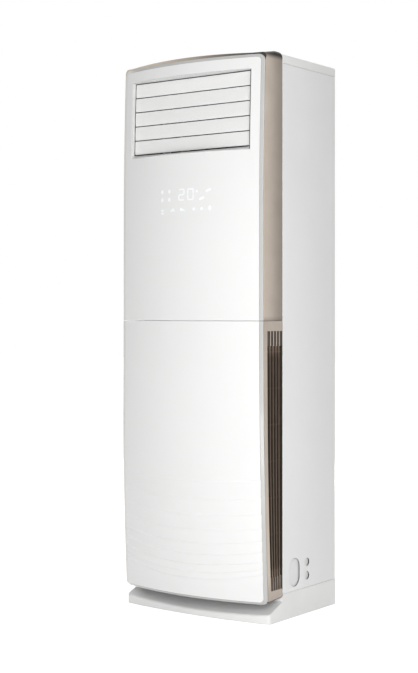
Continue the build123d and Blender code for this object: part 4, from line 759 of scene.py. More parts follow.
loops = [
    sleeve_loop(SLEEVE_LIP, lambda x, z: front_y(x, z, 0.0010)),
    sleeve_loop(SLEEVE_EDGE, lambda x, z: front_y(x, z, 0.0006)),
    sleeve_loop(SLEEVE_INNER, lambda x, z: leaning_y(LOUVRE_FACE_Y - 0.0012, z)),
    sleeve_loop(SLEEVE_INNER, lambda x, z: SLEEVE_REAR),
    sleeve_loop(SLEEVE_OUTER, lambda x, z: SLEEVE_REAR),
    sleeve_loop(SLEEVE_SHELL, lambda x, z: front_y(x, z, 0.0070)),
    sleeve_loop(SLEEVE_LIP, lambda x, z: front_y(x, z, 0.0040)),
]
points, faces = rings(loops, closed_path=True)
sleeve = piece(
    "outlet_sleeve", points, faces, sleeve_white, "cabinet", "louvre_white", "outlet_frame"
)
# Painted shade: a dark grey for the sleeve's right lip and its faces behind the louvres.
sleeve_shade_paint = surface(
    "sleeve_painted_shade", (0.075, 0.075, 0.078), (0.055, 0.055, 0.058), 200, 3000, (0.8, 0.95), 0.00020
)
sleeve.data.materials.append(sleeve_shade_paint)
for polygon in sleeve.data.polygons:
    right_lip = polygon.center.x > SLEEVE_EDGE[0] and polygon.normal.y < -0.3
    if right_lip or polygon.center.y > PAINTED_SHADE_Y:
        polygon.material_index = 1

# ---------------------------------------------------------------- louvres
# Five long moulded blades with softly crowned faces and rolled lower edges.
# Each turns on a pin at either end, and its right pin carries a crank for the common link.
LOUVRE_HALF = 0.2362
LOUVRE_PITCH = 0.0475
LOUVRE_LOW = 1.52775
LOUVRE_RISE = 0.0222
LOUVRE_BODY = 0.003
PIVOT_OFFSET = 0.005
PIN_RADIUS = 0.0025
PIN_START = 0.2354
PIN_END = 0.2406
PIN_EDGE = 0.0003
WEB_X = (0.233, 0.2358)
CRANK_X = (0.242, 0.2445)
CRANK_ARM = 0.012
CRANK_HALF = 0.0035
CRANK_PIN = 0.0015
CRANK_PIN_END = 0.2482
DRIVEN_PIN_END = 0.249

louvre_white = surface(
    "louvre_satin", (0.84, 0.84, 0.83), (0.82, 0.82, 0.81), 5, 700, (0.22, 0.32), 0.00003, coat=0.15
)


def bar(outline, start, end):
    """A bar along X with broken edges, whose outline is worked out at each inset."""
    edge = math.copysign(PIN_EDGE, end - start)
    places = ((start, PIN_EDGE), (start + edge, 0.0), (end - edge, 0.0), (end, PIN_EDGE))
    return rings([[(x, y, z) for y, z in outline(inset)] for x, inset in places])


def rod(y, z, radius, start, end):
    """A round pin along X."""
    return bar(lambda inset: [(y + u, z + v) for u, v in circle(radius - inset, 20)], start, end)


def strap(y0, y1, z, half, start, end):
    """A flat strap with round ends in a Y-Z plane, between two values of X."""
    ends = [(y1, math.radians(90 - 15 * i)) for i in range(13)]
    ends += [(y0, math.radians(270 - 15 * i)) for i in range(13)]
    return bar(lambda inset: [
        (y + (half - inset) * math.cos(turn), z + (half - inset) * math.sin(turn))
        for y, turn in ends
    ], start, end)


blade_section = [(0.0005, -0.0190), (0.0012, 0.0014 - LOUVRE_RISE), (0.0022, -LOUVRE_RISE)]
blade_section += [(LOUVRE_BODY, 0.0004 - LOUVRE_RISE), (LOUVRE_BODY, LOUVRE_RISE - 0.0006)]
blade_section += [(0.0024, LOUVRE_RISE), (0.0011, LOUVRE_RISE), (0.0006, LOUVRE_RISE - 0.0004)]
blade_section += [(0.0003, LOUVRE_RISE - 0.0016)]
blade_section += [(0.0005 * (h / 0.019) ** 2 - 0.0002, h) for h in (0.016, 0.010, 0.004, -0.004)]
blade_section += [(0.0, -0.010), (0.0002, -0.015)]
for number in range(5):
    z = LOUVRE_LOW + LOUVRE_PITCH * number
    y = leaning_y(LOUVRE_FACE_Y + PIVOT_OFFSET, z)
    lean = math.asin((z - CROWN_Z) / LEAN_RADIUS)
    loops = []
    for x, pull in ((-LOUVRE_HALF, 0.0005), (-LOUVRE_HALF + 0.0005, 0.0), (-0.15, 0.0),
                    (0.0, 0.0), (0.15, 0.0), (LOUVRE_HALF - 0.0005, 0.0), (LOUVRE_HALF, 0.0005)):
        loop = []
        for depth, height in blade_section:
            d = depth - PIVOT_OFFSET + (pull if depth < 0.0015 else -pull)
            h = height - math.copysign(pull, height)
            loop.append((
                x, y + d * math.cos(lean) + h * math.sin(lean),
                z + h * math.cos(lean) - d * math.sin(lean),
            ))
        loops.append(loop)
    points, faces = rings(loops)
    for end in (-1, 1):
        web = [
            (y - PIVOT_OFFSET + 0.002, z - 0.008), (y + 0.003, z - 0.006),
            (y + 0.003, z + 0.006), (y - PIVOT_OFFSET + 0.002, z + 0.008),
        ]
        join(rings([[(end * x, u, v) for u, v in web] for x in WEB_X]), points, faces)
    left_end = DRIVEN_PIN_END if number == 2 else PIN_END
    join(rod(y, z, PIN_RADIUS, -PIN_START, -left_end), points, faces)
    join(rod(y, z, PIN_RADIUS, PIN_START, CRANK_X[1]), points, faces)
    join(strap(y, y + CRANK_ARM, z, CRANK_HALF, *CRANK_X), points, faces)
    join(rod(y + CRANK_ARM, z, CRANK_PIN, CRANK_X[0], CRANK_PIN_END), points, faces)
    name = f"louvre_{number + 1}"
    piece(name + "_blade", points, faces, louvre_white, name, "louvre_white", name)

# ---------------------------------------------------------------- louvre drive
# The link that joins the five cranks, and the small geared motor on the sleeve's left side.
# The link is grey acetal, and the motor's can is plated.
link_grey = surface(
    "link_acetal", (0.50, 0.50, 0.49), (0.45, 0.45, 0.44), 60, 1600, (0.32, 0.45), 0.00006
)
dress(link_grey, "louvre_link", edge=0.0004)
dress(motor_can, "louvre_motor", edge=0.0006)

# ---------------------------------------------------------------- display
# A white light box behind the skin keeps each lamp's light in its own cell.
# The display board closes it from behind, with its chip and plug on the back.
box_white = surface(
    "light_box_white", (0.78, 0.78, 0.77), (0.74, 0.74, 0.73), 20, 1200, (0.5, 0.65), 0.00008
)
dress(box_white, "display_light_box", edge=0.0004)
dress(board_green, "display_board", edge=0.0002)

# ---------------------------------------------------------------- white skins
# The two front skins: 3 mm gloss white panels with a clear, rounded edge.
# The lower one carries nine shallow ripples that draw together towards the floor.
FLARE = 0.013
FLARE_SPAN = (0.953, 0.280)
SKIN = 0.003
SKIN_FIT = 0.0002
SKIN_PITCH = 0.030
SKIN_COLUMNS = 88
SKIN_EDGE = 0.0011
SKIN_HALF = 0.2705
SKIN_CORNER = 0.0125
SEAM_Z = 0.953
SEAM_HALF = 0.0006
SKIN_TOP = 1.7795
SKIN_BOTTOM = 0.0715
WINDOW_HALF = 0.2402
WINDOW = (1.4900, 1.7437)
RIPPLES = (0.446, 0.387, 0.334, 0.287, 0.245, 0.208, 0.176, 0.150, 0.129)
RIPPLE_RISE = (0.009, 0.011, 0.013, 0.015, 0.017, 0.019, 0.021, 0.023, 0.025)
RIPPLE_DEPTH = (0.0013, 0.0015, 0.0017, 0.0019, 0.0020, 0.0021, 0.0021, 0.0020, 0.0019)
RIPPLE_HALF = 0.245
RIPPLE_ROWS = [0.092 + 0.0012 * i for i in range(320)]
RIPPLE_LEDGE = 0.0040
RIPPLE_END = 0.034

skin_white = surface(
    "skin_gloss_white", (0.83, 0.83, 0.825), (0.815, 0.815, 0.81), 3, 260, (0.10, 0.16),
    0.00002, coat=0.4,
)


def flare(z):
    """How much wider the lower panel is at a height than at the seam: it flares to the floor."""
    share = (FLARE_SPAN[0] - z) / (FLARE_SPAN[0] - FLARE_SPAN[1])
    share = min(max(share, 0.0), 1.0)
    return 1 + FLARE * share * share * (3 - 2 * share)


def row_half(z, half, low, high, low_round, high_round):
    """Half the width at a height of a rectangle with rounded lower or upper corners."""
    if z < low + low_round:
        return half - low_round + math.sqrt(max(low_round**2 - (low + low_round - z) ** 2, 0))
    if z > high - high_round:
        return half - high_round + math.sqrt(max(high_round**2 - (z - high + high_round) ** 2, 0))
    return half


def ripple(x, z):
    """How far the lower skin is set back at x and z: it swells down to each line and steps in."""
    share = (x / RIPPLE_HALF) ** 2
    lines = [c + r * share for c, r in zip(RIPPLES, RIPPLE_RISE)]
    lines.append(lines[-1] - RIPPLE_END)
    for upper, lower, depth in zip(lines, lines[1:], RIPPLE_DEPTH):
        if lower < z <= upper:
            ledge = min((upper - z) / RIPPLE_LEDGE, 1.0)
            return depth * ledge * (z - lower) / (upper - lower)
    return 0.0


def skin_rows(low, high, extra):
    """Heights of a skin's rows of points: even rows, with closer ones in the corners."""
    rows = {low, high, *[z for z in extra if low <= z <= high]}
    count = int((high - low) / SKIN_PITCH)
    rows |= {low + (high - low) * i / count for i in range(count + 1)}
    return sorted(rows)


def skin_sheet(
    name, node, body, low, high, low_round, high_round, rows, columns, relief, window=None
):
    """A skin on the bowed face, with its window left open, as a sheet of even thickness."""
    points, faces = [], []
    for z in rows:
        half_row = row_half(z, SKIN_HALF, low, high, low_round, high_round)
        for share in columns:
            x = share * half_row / SKIN_HALF * flare(z)
            points.append((x, front_y(x, z) + relief(x, z), z))
    for i, j, face in grid(len(columns), len(rows)):
        across, up = (columns[i] + columns[i + 1]) / 2, (rows[j] + rows[j + 1]) / 2
        if not (window and abs(across) < WINDOW_HALF and window[0] < up < window[1]):
            faces.append(face)
    made = piece(name, points, faces, skin_white, body, "front_white", node)
    thicken(made, SKIN - SKIN_FIT, (0, -1, 0))
    soften(made, SKIN_EDGE, 3)
    return made


corner_steps = [SKIN_CORNER * (1 - math.cos(math.radians(90 * i / 10))) for i in range(11)]
columns = sorted(
    {round(SKIN_HALF * (2 * i / SKIN_COLUMNS - 1), 6) for i in range(SKIN_COLUMNS + 1)}
    | {-WINDOW_HALF, WINDOW_HALF}
)
rows = skin_rows(
    SEAM_Z + SEAM_HALF, SKIN_TOP, [*WINDOW, *[SKIN_TOP - d for d in corner_steps]],
)
skin_sheet(
    "upper_skin", "upper_front_panel", "cabinet", SEAM_Z + SEAM_HALF, SKIN_TOP,
    0.0, SKIN_CORNER, rows, columns, lambda x, z: 0.0, WINDOW,
)
rows = skin_rows(SKIN_BOTTOM, SEAM_Z - SEAM_HALF, [SKIN_BOTTOM + d for d in corner_steps])
rows = sorted({*rows, *RIPPLE_ROWS})
skin_sheet(
    "lower_skin", "lower_front_panel", "lower_door", SKIN_BOTTOM, SEAM_Z - SEAM_HALF,
    SKIN_CORNER, 0.0, rows, columns, ripple,
)

# ---------------------------------------------------------------- display marks
# The lit marks: the set temperature and a row of touch signs that shine through the skin.
# Each is a clear window in the skin's white, level with its face and lit from the light box.
MARK_PROUD = 0.00012
MARK_DEPTH = 0.0006
DIGIT_WIDTH = 0.0255
DIGIT_HEIGHT = 0.0385
STROKE = 0.0046
DIGIT_LOW = 1.3385
SEGMENTS = {
    "a": (0, 2, 1, 2), "b": (1, 1, 1, 2), "c": (1, 0, 1, 1), "d": (0, 0, 1, 0),
    "e": (0, 0, 0, 1), "f": (0, 1, 0, 2), "g": (0, 1, 1, 1),
}
DIGITS = {"2": "abged", "0": "abcdef"}

lit_white, tree, shader = new_material("lit_white")
cloud = add_node(tree, "TexNoise", {"Vector": object_place(tree), "Scale": 120})
feed(tree, shader, {
    "Base Color": (0.72, 0.73, 0.74, 1), "Roughness": 0.2, "Emission Strength": 1.0,
    "Emission Color": two_tones(
        tree, cloud.outputs["Fac"], (0.20, 0.21, 0.22), (0.24, 0.25, 0.26)
    ),
})


def inlay(outline):
    """A flat mark with the given x-z outline, laid level in the bowed skin."""
    loops = []
    middle_x = sum(x for x, _ in outline) / len(outline)
    middle_z = sum(z for _, z in outline) / len(outline)
    for depth, shrink in ((MARK_DEPTH, 1.0), (-MARK_PROUD * 0.4, 1.0), (-MARK_PROUD, 0.985)):
        loop = []
        for x, z in outline:
            u, w = middle_x + (x - middle_x) * shrink, middle_z + (z - middle_z) * shrink
            loop.append((u, front_y(u, w) + depth, w))
        loops.append(loop)
    return rings(loops)


def stroke(x0, z0, x1, z1, width):
    """The outline of a straight stroke with pointed ends."""
    length = math.dist((x0, z0), (x1, z1))
    ux, uz = (x1 - x0) / length, (z1 - z0) / length
    h = width / 2
    return [
        (x0, z0), (x0 + ux * h + uz * h, z0 + uz * h - ux * h),
        (x1 - ux * h + uz * h, z1 - uz * h - ux * h), (x1, z1),
        (x1 - ux * h - uz * h, z1 - uz * h + ux * h), (x0 + ux * h - uz * h, z0 + uz * h + ux * h),
    ]


def dot(x, z, radius):
    """The outline of a round mark."""
    return [(x + u, z + v) for u, v in circle(radius, 16)]


outlines = []
for start_x, digit in ((-0.0155, "2"), (0.0205, "0")):
    for segment in DIGITS[digit]:
        u0, w0, u1, w1 = SEGMENTS[segment]
        x0, x1 = (start_x + STROKE / 2 + u * (DIGIT_WIDTH - STROKE) for u in (u0, u1))
        z0, z1 = (DIGIT_LOW + STROKE / 2 + w * (DIGIT_HEIGHT - STROKE) / 2 for w in (w0, w1))
        outlines.append(stroke(x0, z0, x1, z1, STROKE))
outlines.append(dot(0.0575, 1.366, 0.0042))
outlines += [
    stroke(x, z - 0.008, x, z + 0.008, 0.0105) for x in (-0.084, -0.0535) for z in (1.370, 1.344)
]
outlines += [stroke(x - 0.011, z - 0.004, x + 0.011, z + 0.004, 0.0075)
             for x, z in ((0.0755, 1.3425), (0.100, 1.3675))]
outlines += [stroke(-0.090, z, -0.076, z, 0.0055) for z in (1.3100, 1.3005)]
outlines.append([(-0.050, 1.3055), (-0.028, 1.3055), (-0.037, 1.3165)])
outlines.append([(-0.008, 1.3055), (0.014, 1.3055), (-0.002, 1.3155), (-0.008, 1.3155)])
outlines += [dot(0.046, 1.310, 0.0052), dot(0.076, 1.310, 0.0052)]
outlines.append(stroke(0.106, 1.302, 0.106, 1.320, 0.011))
points, faces = [], []
for outline in outlines:
    join(inlay(outline), points, faces)
piece("display_marks", points, faces, lit_white, "cabinet", "light_box")

# ---------------------------------------------------------------- panel rims
# The grey-green border round each skin: a moulded frame that the skin is bonded to.
# Its face lies a millimetre behind the skin's, and rolls under along the foot of the lower panel.
RIM_HALF = 0.282
RIM_TOP = 1.789
RIM_BOTTOM = 0.0635
RIM_TOP_CORNER = 0.021
RIM_LOW_CORNER = 0.0175
RIM_DROP = 0.001
RIM_DEPTH = 0.0055
RIM_SEAT = 0.0002
RIM_ROLL = 0.0034
RIM_ROLL_START = 0.010
RIM_ROLL_RUN = 0.009
SEAM_CORNER = 0.0004

# Painted light: the rim's grey is much lighter at its left end, fading out by x = -0.2.
rim_grey_painted_light = shaded(
    surface(
        "rim_grey_painted_light", (0.510, 0.512, 0.500), (0.482, 0.484, 0.472), 8, 600, (0.16, 0.24), 0.00003,
        coat=0.3,
    ),
    ("X", -0.286, -0.200, 1.62, 1.0),
)


def frame_loop(half, low, high, low_round, high_round, steps=12, across=18, upright=40):
    """A rectangle with rounded lower and upper corners, as x and z pairs, from its lower left."""
    loop = []
    for cx, cz, round_, first, run in (
        (-1, low, low_round, 180, across), (1, low, low_round, 270, upright),
        (1, high, high_round, 0, across), (-1, high, high_round, 90, upright),
    ):
        x = cx * (half - round_)
        z = cz + (round_ if cz == low else -round_)
        for i in range(steps + 1):
            turn = math.radians(first + 90 * i / steps)
            loop.append((x + round_ * math.cos(turn), z + round_ * math.sin(turn)))
        start = loop[-1]
        if run == across:
            end = (-start[0], start[1])
        else:
            end = (start[0], low + low_round if cx < 0 else high - high_round)
        loop += [
            tuple(s + (e - s) * i / run for s, e in zip(start, end)) for i in range(1, run)
        ]
    return loop


def rim_frame(name, node, body, border, seat, roll):
    """A rim round a skin: its rounded outer border and the seat that the skin lies in."""
    loops = []
    for share, depth in (
        (0.0, RIM_DEPTH), (0.0, RIM_DROP + 0.0007), (0.02, RIM_DROP + 0.0002), (0.06, RIM_DROP),
        (1.0, RIM_DROP), (1.0, RIM_DROP + 0.0030), (1.3, RIM_DROP + 0.0032), (1.3, RIM_DEPTH),
    ):
        loop = []
        for x, z in frame_loop(*[b + (s - b) * share for b, s in zip(border, seat)]):
            x *= flare(z)
            foot = min(max((border[1] + RIM_ROLL_START - z) / RIM_ROLL_RUN, 0.0), 1.0)
            sunk = roll * foot * max(1.0 - share, 0.0)
            loop.append((x, front_y(x, z, min(depth + sunk, RIM_DEPTH)), z))
        loops.append(loop)
    points, faces = rings(loops, closed_path=True)
    return piece(name, points, faces, rim_grey_painted_light, body, "panel_rim", node)


rim_frame(
    "upper_rim", "upper_panel_frame", "cabinet",
    (RIM_HALF, SEAM_Z + SEAM_HALF, RIM_TOP, SEAM_CORNER, RIM_TOP_CORNER),
    (SKIN_HALF + RIM_SEAT, SEAM_Z + SEAM_HALF + 0.0006, SKIN_TOP + RIM_SEAT, SEAM_CORNER,
     SKIN_CORNER + RIM_SEAT),
    0.0,
)
rim_frame(
    "lower_rim", "lower_panel_frame", "lower_door",
    (RIM_HALF, RIM_BOTTOM, SEAM_Z - SEAM_HALF, RIM_LOW_CORNER, SEAM_CORNER),
    (SKIN_HALF + RIM_SEAT, SKIN_BOTTOM - RIM_SEAT, SEAM_Z - SEAM_HALF - 0.0006,
     SKIN_CORNER + RIM_SEAT, SEAM_CORNER),
    RIM_ROLL,
)

# ---------------------------------------------------------------- champagne hoop
# One moulding in champagne lacquer: two side strips joined in an arch over the upper panel.
# Its crest rises behind the crowned lip; the lacquer carries painted shade, deepest at the crest.
TRIM_FRONT_HALF = 0.2846
TRIM_FRONT_Y = -0.1875
TRIM_REAR_Y = -0.0878
TRIM_BULGE = 0.001
TRIM_WALL = 0.0022
TRIM_INSET = 0.002
TRIM_CORNER = 0.0145
TRIM_EDGE = 0.0009
TRIM_FIT = 0.0002
CREST_TOP = 1.808
CREST_Y = -0.1175
CREST_FRONT = 1.7985
CREST_CROWN = 0.005
CREST_FALL = 0.003
CREST_HALF = 0.25
CREST_BEND_X = 0.26
REAR_ROUND = 0.012
SIDE_ROUND = 0.0012


def champagne(name):
    """Warm metallic lacquer with a fine flake."""
    return surface(
        name, (0.515, 0.445, 0.380), (0.470, 0.403, 0.343), 16, 2600, (0.28, 0.38), 0.00003,
        metallic=0.85, coat=0.12, gloss=0.3,
    )


# Painted shade: darker to the rear, darker just above the seam, and a dark band up to the crest for
# its shade and dark reflection.
hoop_lacquer_painted_shade = shaded(
    champagne("hoop_lacquer_painted_shade"), ("Y", -0.186, -0.090, 1.06, 0.55), ("Z", 0.953, 0.970, 0.7, 1.0),
    ("Z", 1.774, 1.794, 1.0, 0.03),
)
# Painted shade on the front lip: light at its left end, dark at its right.
lip_lacquer_painted_shade = shaded(champagne("lip_lacquer_painted_shade"), ("X", -0.15, 0.30, 1.05, 0.11))
# Painted shade on the crest's top: a deeper bronze, darker to the rear.
crest_lacquer_painted_shade = shaded(champagne("crest_lacquer_painted_shade"), ("Y", -0.190, -0.100, 0.80, 0.55))


def trim_x(y, wide=1.0):
    """Half the width over the trims at a depth: they widen and bulge a little to the rear."""
    share = min(max((y - TRIM_FRONT_Y) / (TRIM_REAR_Y - TRIM_FRONT_Y), 0.0), 1.0)
    front = TRIM_FRONT_HALF * wide
    bulge = TRIM_BULGE * (1 - 0.9 * (wide - 1) / FLARE)
    return front + (HALF_WIDTH - front) * share + 4 * bulge * share * (1 - share)


def crest_z(x, y):
    """Height of the hoop's crest: crowned at its front lip and level behind."""
    low = CREST_FRONT - CREST_CROWN * (x / CREST_HALF) ** 2
    share = min(max((y - TRIM_FRONT_Y) / (CREST_Y - TRIM_FRONT_Y), 0.0), 1.0)
    return low + (CREST_TOP - CREST_FALL * (x / HALF_WIDTH) ** 6 - low) * share


def hoop_place(part, share, half, top, corner):
    """A point on the hoop's outline in the x-z plane, on a side, a corner or the crest."""
    low = SEAM_Z + SEAM_HALF
    if part == "side":
        return half, low + (top - corner - low) * share
    if part == "corner":
        turn = math.radians(90 * share)
        return half - corner + corner * math.cos(turn), top - corner + corner * math.sin(turn)
    return (half - corner) * (1 - share), top


stations = [("side", i / 16) for i in range(16)] + [("corner", i / 16) for i in range(17)]
stations += [("crest", i / 18) for i in range(1, 19)]
half_loops = []
for part, share in stations:
    fx, fz = hoop_place(part, share, TRIM_FRONT_HALF, crest_z(CREST_BEND_X, TRIM_FRONT_Y), TRIM_CORNER)
    front = front_y(fx, fz, TRIM_INSET)
    turn = {"side": 0.0, "corner": share, "crest": 1.0}[part]
    rounding = SIDE_ROUND + (REAR_ROUND - SIDE_ROUND) * turn
    level = TRIM_REAR_Y - rounding
    sections = [(front, TRIM_EDGE), (front + 0.3 * TRIM_EDGE, 0.3 * TRIM_EDGE)]
    sections += [(front + TRIM_EDGE + (level - front - TRIM_EDGE) * i / 16, 0.0) for i in range(17)]
    for step in range(1, 7):
        swing = math.radians(15 * step)
        sections.append((level + rounding * math.sin(swing), rounding * (1 - math.cos(swing))))
    inner_corner = RIM_TOP_CORNER - 0.0005
    inner_top = RIM_TOP + TRIM_FIT
    ix, iz = hoop_place(part, share, TRIM_FRONT_HALF - TRIM_WALL, inner_top, inner_corner)
    loop = [(ix, front + TRIM_FIT, iz)]
    for y, drop in sections:
        x, z = hoop_place(part, share, trim_x(y) - drop, crest_z(fx, y) - drop, TRIM_CORNER)
        if part == "crest":
            z = crest_z(x, y) - drop
        loop.append((x, y, z))
    for y in (TRIM_REAR_Y, (front + TRIM_REAR_Y) / 2):
        ix, iz = hoop_place(part, share, trim_x(y) - TRIM_WALL, inner_top, inner_corner)
        loop.append((ix, y, iz))
    half_loops.append(loop)
loops = half_loops + [[(-x, y, z) for x, y, z in loop] for loop in reversed(half_loops[:-1])]
points, faces = rings(loops)
hoop = piece(
    "champagne_hoop", points, faces, hoop_lacquer_painted_shade, "cabinet", "champagne", "upper_trim"
)
hoop.data.materials.append(lip_lacquer_painted_shade)
hoop.data.materials.append(crest_lacquer_painted_shade)
# The lip's forward faces near the top take the lip's painted shade, and the upward faces take the
# crest's.
for polygon in hoop.data.polygons:
    if polygon.normal.y < -0.75 and polygon.center.z > RIM_TOP - RIM_TOP_CORNER:
        polygon.material_index = 1
    if polygon.normal.z > 0.9:
        polygon.material_index = 2

# ---------------------------------------------------------------- dust filters
# Two dark moulded frames with a fine woven net, clipped behind the side grilles.
# They slide out towards the middle once the lower panel is off.
FILTER_THREAD = 0.0011


def larger(tree, first, second):
    """The larger of two values."""
    return add_node(tree, "Math", {0: first, 1: second}, operation="MAXIMUM").outputs["Value"]


def woven_net(name, thread, gap):
    """A dark net: threads crossing at right angles, with painted shade in the gaps between them."""
    material = surface(name, thread, gap, 40, 1500, (0.55, 0.7), 0.00005)
    tree = material.node_tree
    sockets = {"Vector": object_place(tree), "Scale": 1 / (20 * FILTER_THREAD)}
    height = larger(tree, *[
        add_node(tree, "TexWave", sockets, bands_direction=way).outputs["Fac"] for way in "YZ"
    ])
    relief = add_node(tree, "Bump", {"Height": height, "Distance": 0.0003})
    feed(tree, tree.nodes["Principled BSDF"], {
        "Base Color": two_tones(tree, height, gap, thread), "Normal": relief.outputs["Normal"],
    })
    return material


filter_net = woven_net("filter_net", (0.016, 0.011, 0.008), (0.005, 0.0035, 0.0025))
dress(filter_net, "filter_left", "filter_right", edge=0.0003)

# ---------------------------------------------------------------- intake grilles
# Champagne side pieces of the lower panel, moulded to the same curve as the hoop's strips.
# Five upright slots fan out between dark ribs on cross ties, and end in blind grooves.
GRILLE_LOW = 0.075
GRILLE_FRONT_LOW = 0.067
GRILLE_HIGH = SEAM_Z - SEAM_HALF
GRILLE_DEPTH = 0.007
SLOT_COUNT = 5
SLOT_REAR = TRIM_REAR_Y - 0.0027
SLOT_BORDER = 0.0185
RIB_HALF = 0.0021
GROOVE_SINK = 0.0016
SLOT_SPAN = (0.147, 0.874)
GROOVE_SPAN = (0.105, 0.921)
STEEP = 0.0004
TIE_PITCH = 0.115
TIE_HALF = 0.0015
TUCK = 0.0060
TUCK_HEIGHT = 0.0070
ROW_PITCH = 0.018
# Height of the grille's lowest rows, which are painted dark as shade.
PAINTED_SHADE_FOOT = 0.0045
TIE_MIDDLE = (SLOT_SPAN[0] + SLOT_SPAN[1]) / 2

# Painted shade: the lacquer darker towards the rear and towards the bottom.
grille_lacquer_painted_shade = shaded(
    champagne("grille_lacquer_painted_shade"), ("Y", -0.170, -0.090, 0.90, 0.85),
    ("Z", 0.075, 0.170, 0.74, 1.0),
)
# The ribs' bronze carries painted light: lighter where the ribs come up to the face at the slots'
# lower and upper ends.
rib_bronze_painted_shading = shaded(
    surface(
        "rib_bronze_painted_shading", (0.190, 0.140, 0.103), (0.155, 0.112, 0.080), 30, 2200, (0.30, 0.42), 0.00004,
        metallic=0.6, coat=0.15,
    ),
    ("Z", 0.147, 0.190, 1.1, 0.6), ("Z", 0.830, 0.874, 1.0, 2.2),
)
# Painted shade: a dark bronze for the groove floors and walls, the grille's rear strip, its lowest
# rows and the slots' rear returns.
grille_painted_shade = surface(
    "grille_painted_shade", (0.075, 0.058, 0.045), (0.055, 0.042, 0.032), 30, 2200, (0.40, 0.55), 0.00004,
    metallic=0.4,
)


def slot_edges(z):
    """Depths at a height of each slot's front and rear edge, from the front slot to the rear."""
    start = front_y(TRIM_FRONT_HALF, z) + SLOT_BORDER
    pitch = (SLOT_REAR - start) / SLOT_COUNT
    middles = [start + pitch * rib for rib in range(1, SLOT_COUNT)]
    fronts = [start] + [y + RIB_HALF for y in middles]
    return list(zip(fronts, [y - RIB_HALF for y in middles] + [SLOT_REAR]))


def grille_columns(z):
    """Depths of the grille's columns of points at a height, and how far each is sunk in a groove."""
    front = front_y(TRIM_FRONT_HALF * flare(z), z, TRIM_INSET)
    border = front_y(TRIM_FRONT_HALF, z) + SLOT_BORDER
    sink = GROOVE_SINK if GROOVE_SPAN[0] < z < GROOVE_SPAN[1] else 0.0
    columns = [(front + (border - 0.0004 - front) * i / 5, 0.0) for i in range(6)]
    for start, end in slot_edges(z):
        columns += [(start, 0.0), (start + STEEP, sink), (end - STEEP, sink), (end, 0.0)]
    return columns + [(TRIM_REAR_Y - 0.0008, 0.0), (TRIM_REAR_Y, 0.0006)]


def foot_z(y, z):
    """Height of the grille's point: its lower edge drops towards the front."""
    share = max(GROOVE_SPAN[0] - z, 0.0) / (GROOVE_SPAN[0] - GRILLE_LOW)
    reach = (TRIM_REAR_Y - y) / (TRIM_REAR_Y - TRIM_FRONT_Y)
    return z - (GRILLE_LOW - GRILLE_FRONT_LOW) * share * reach


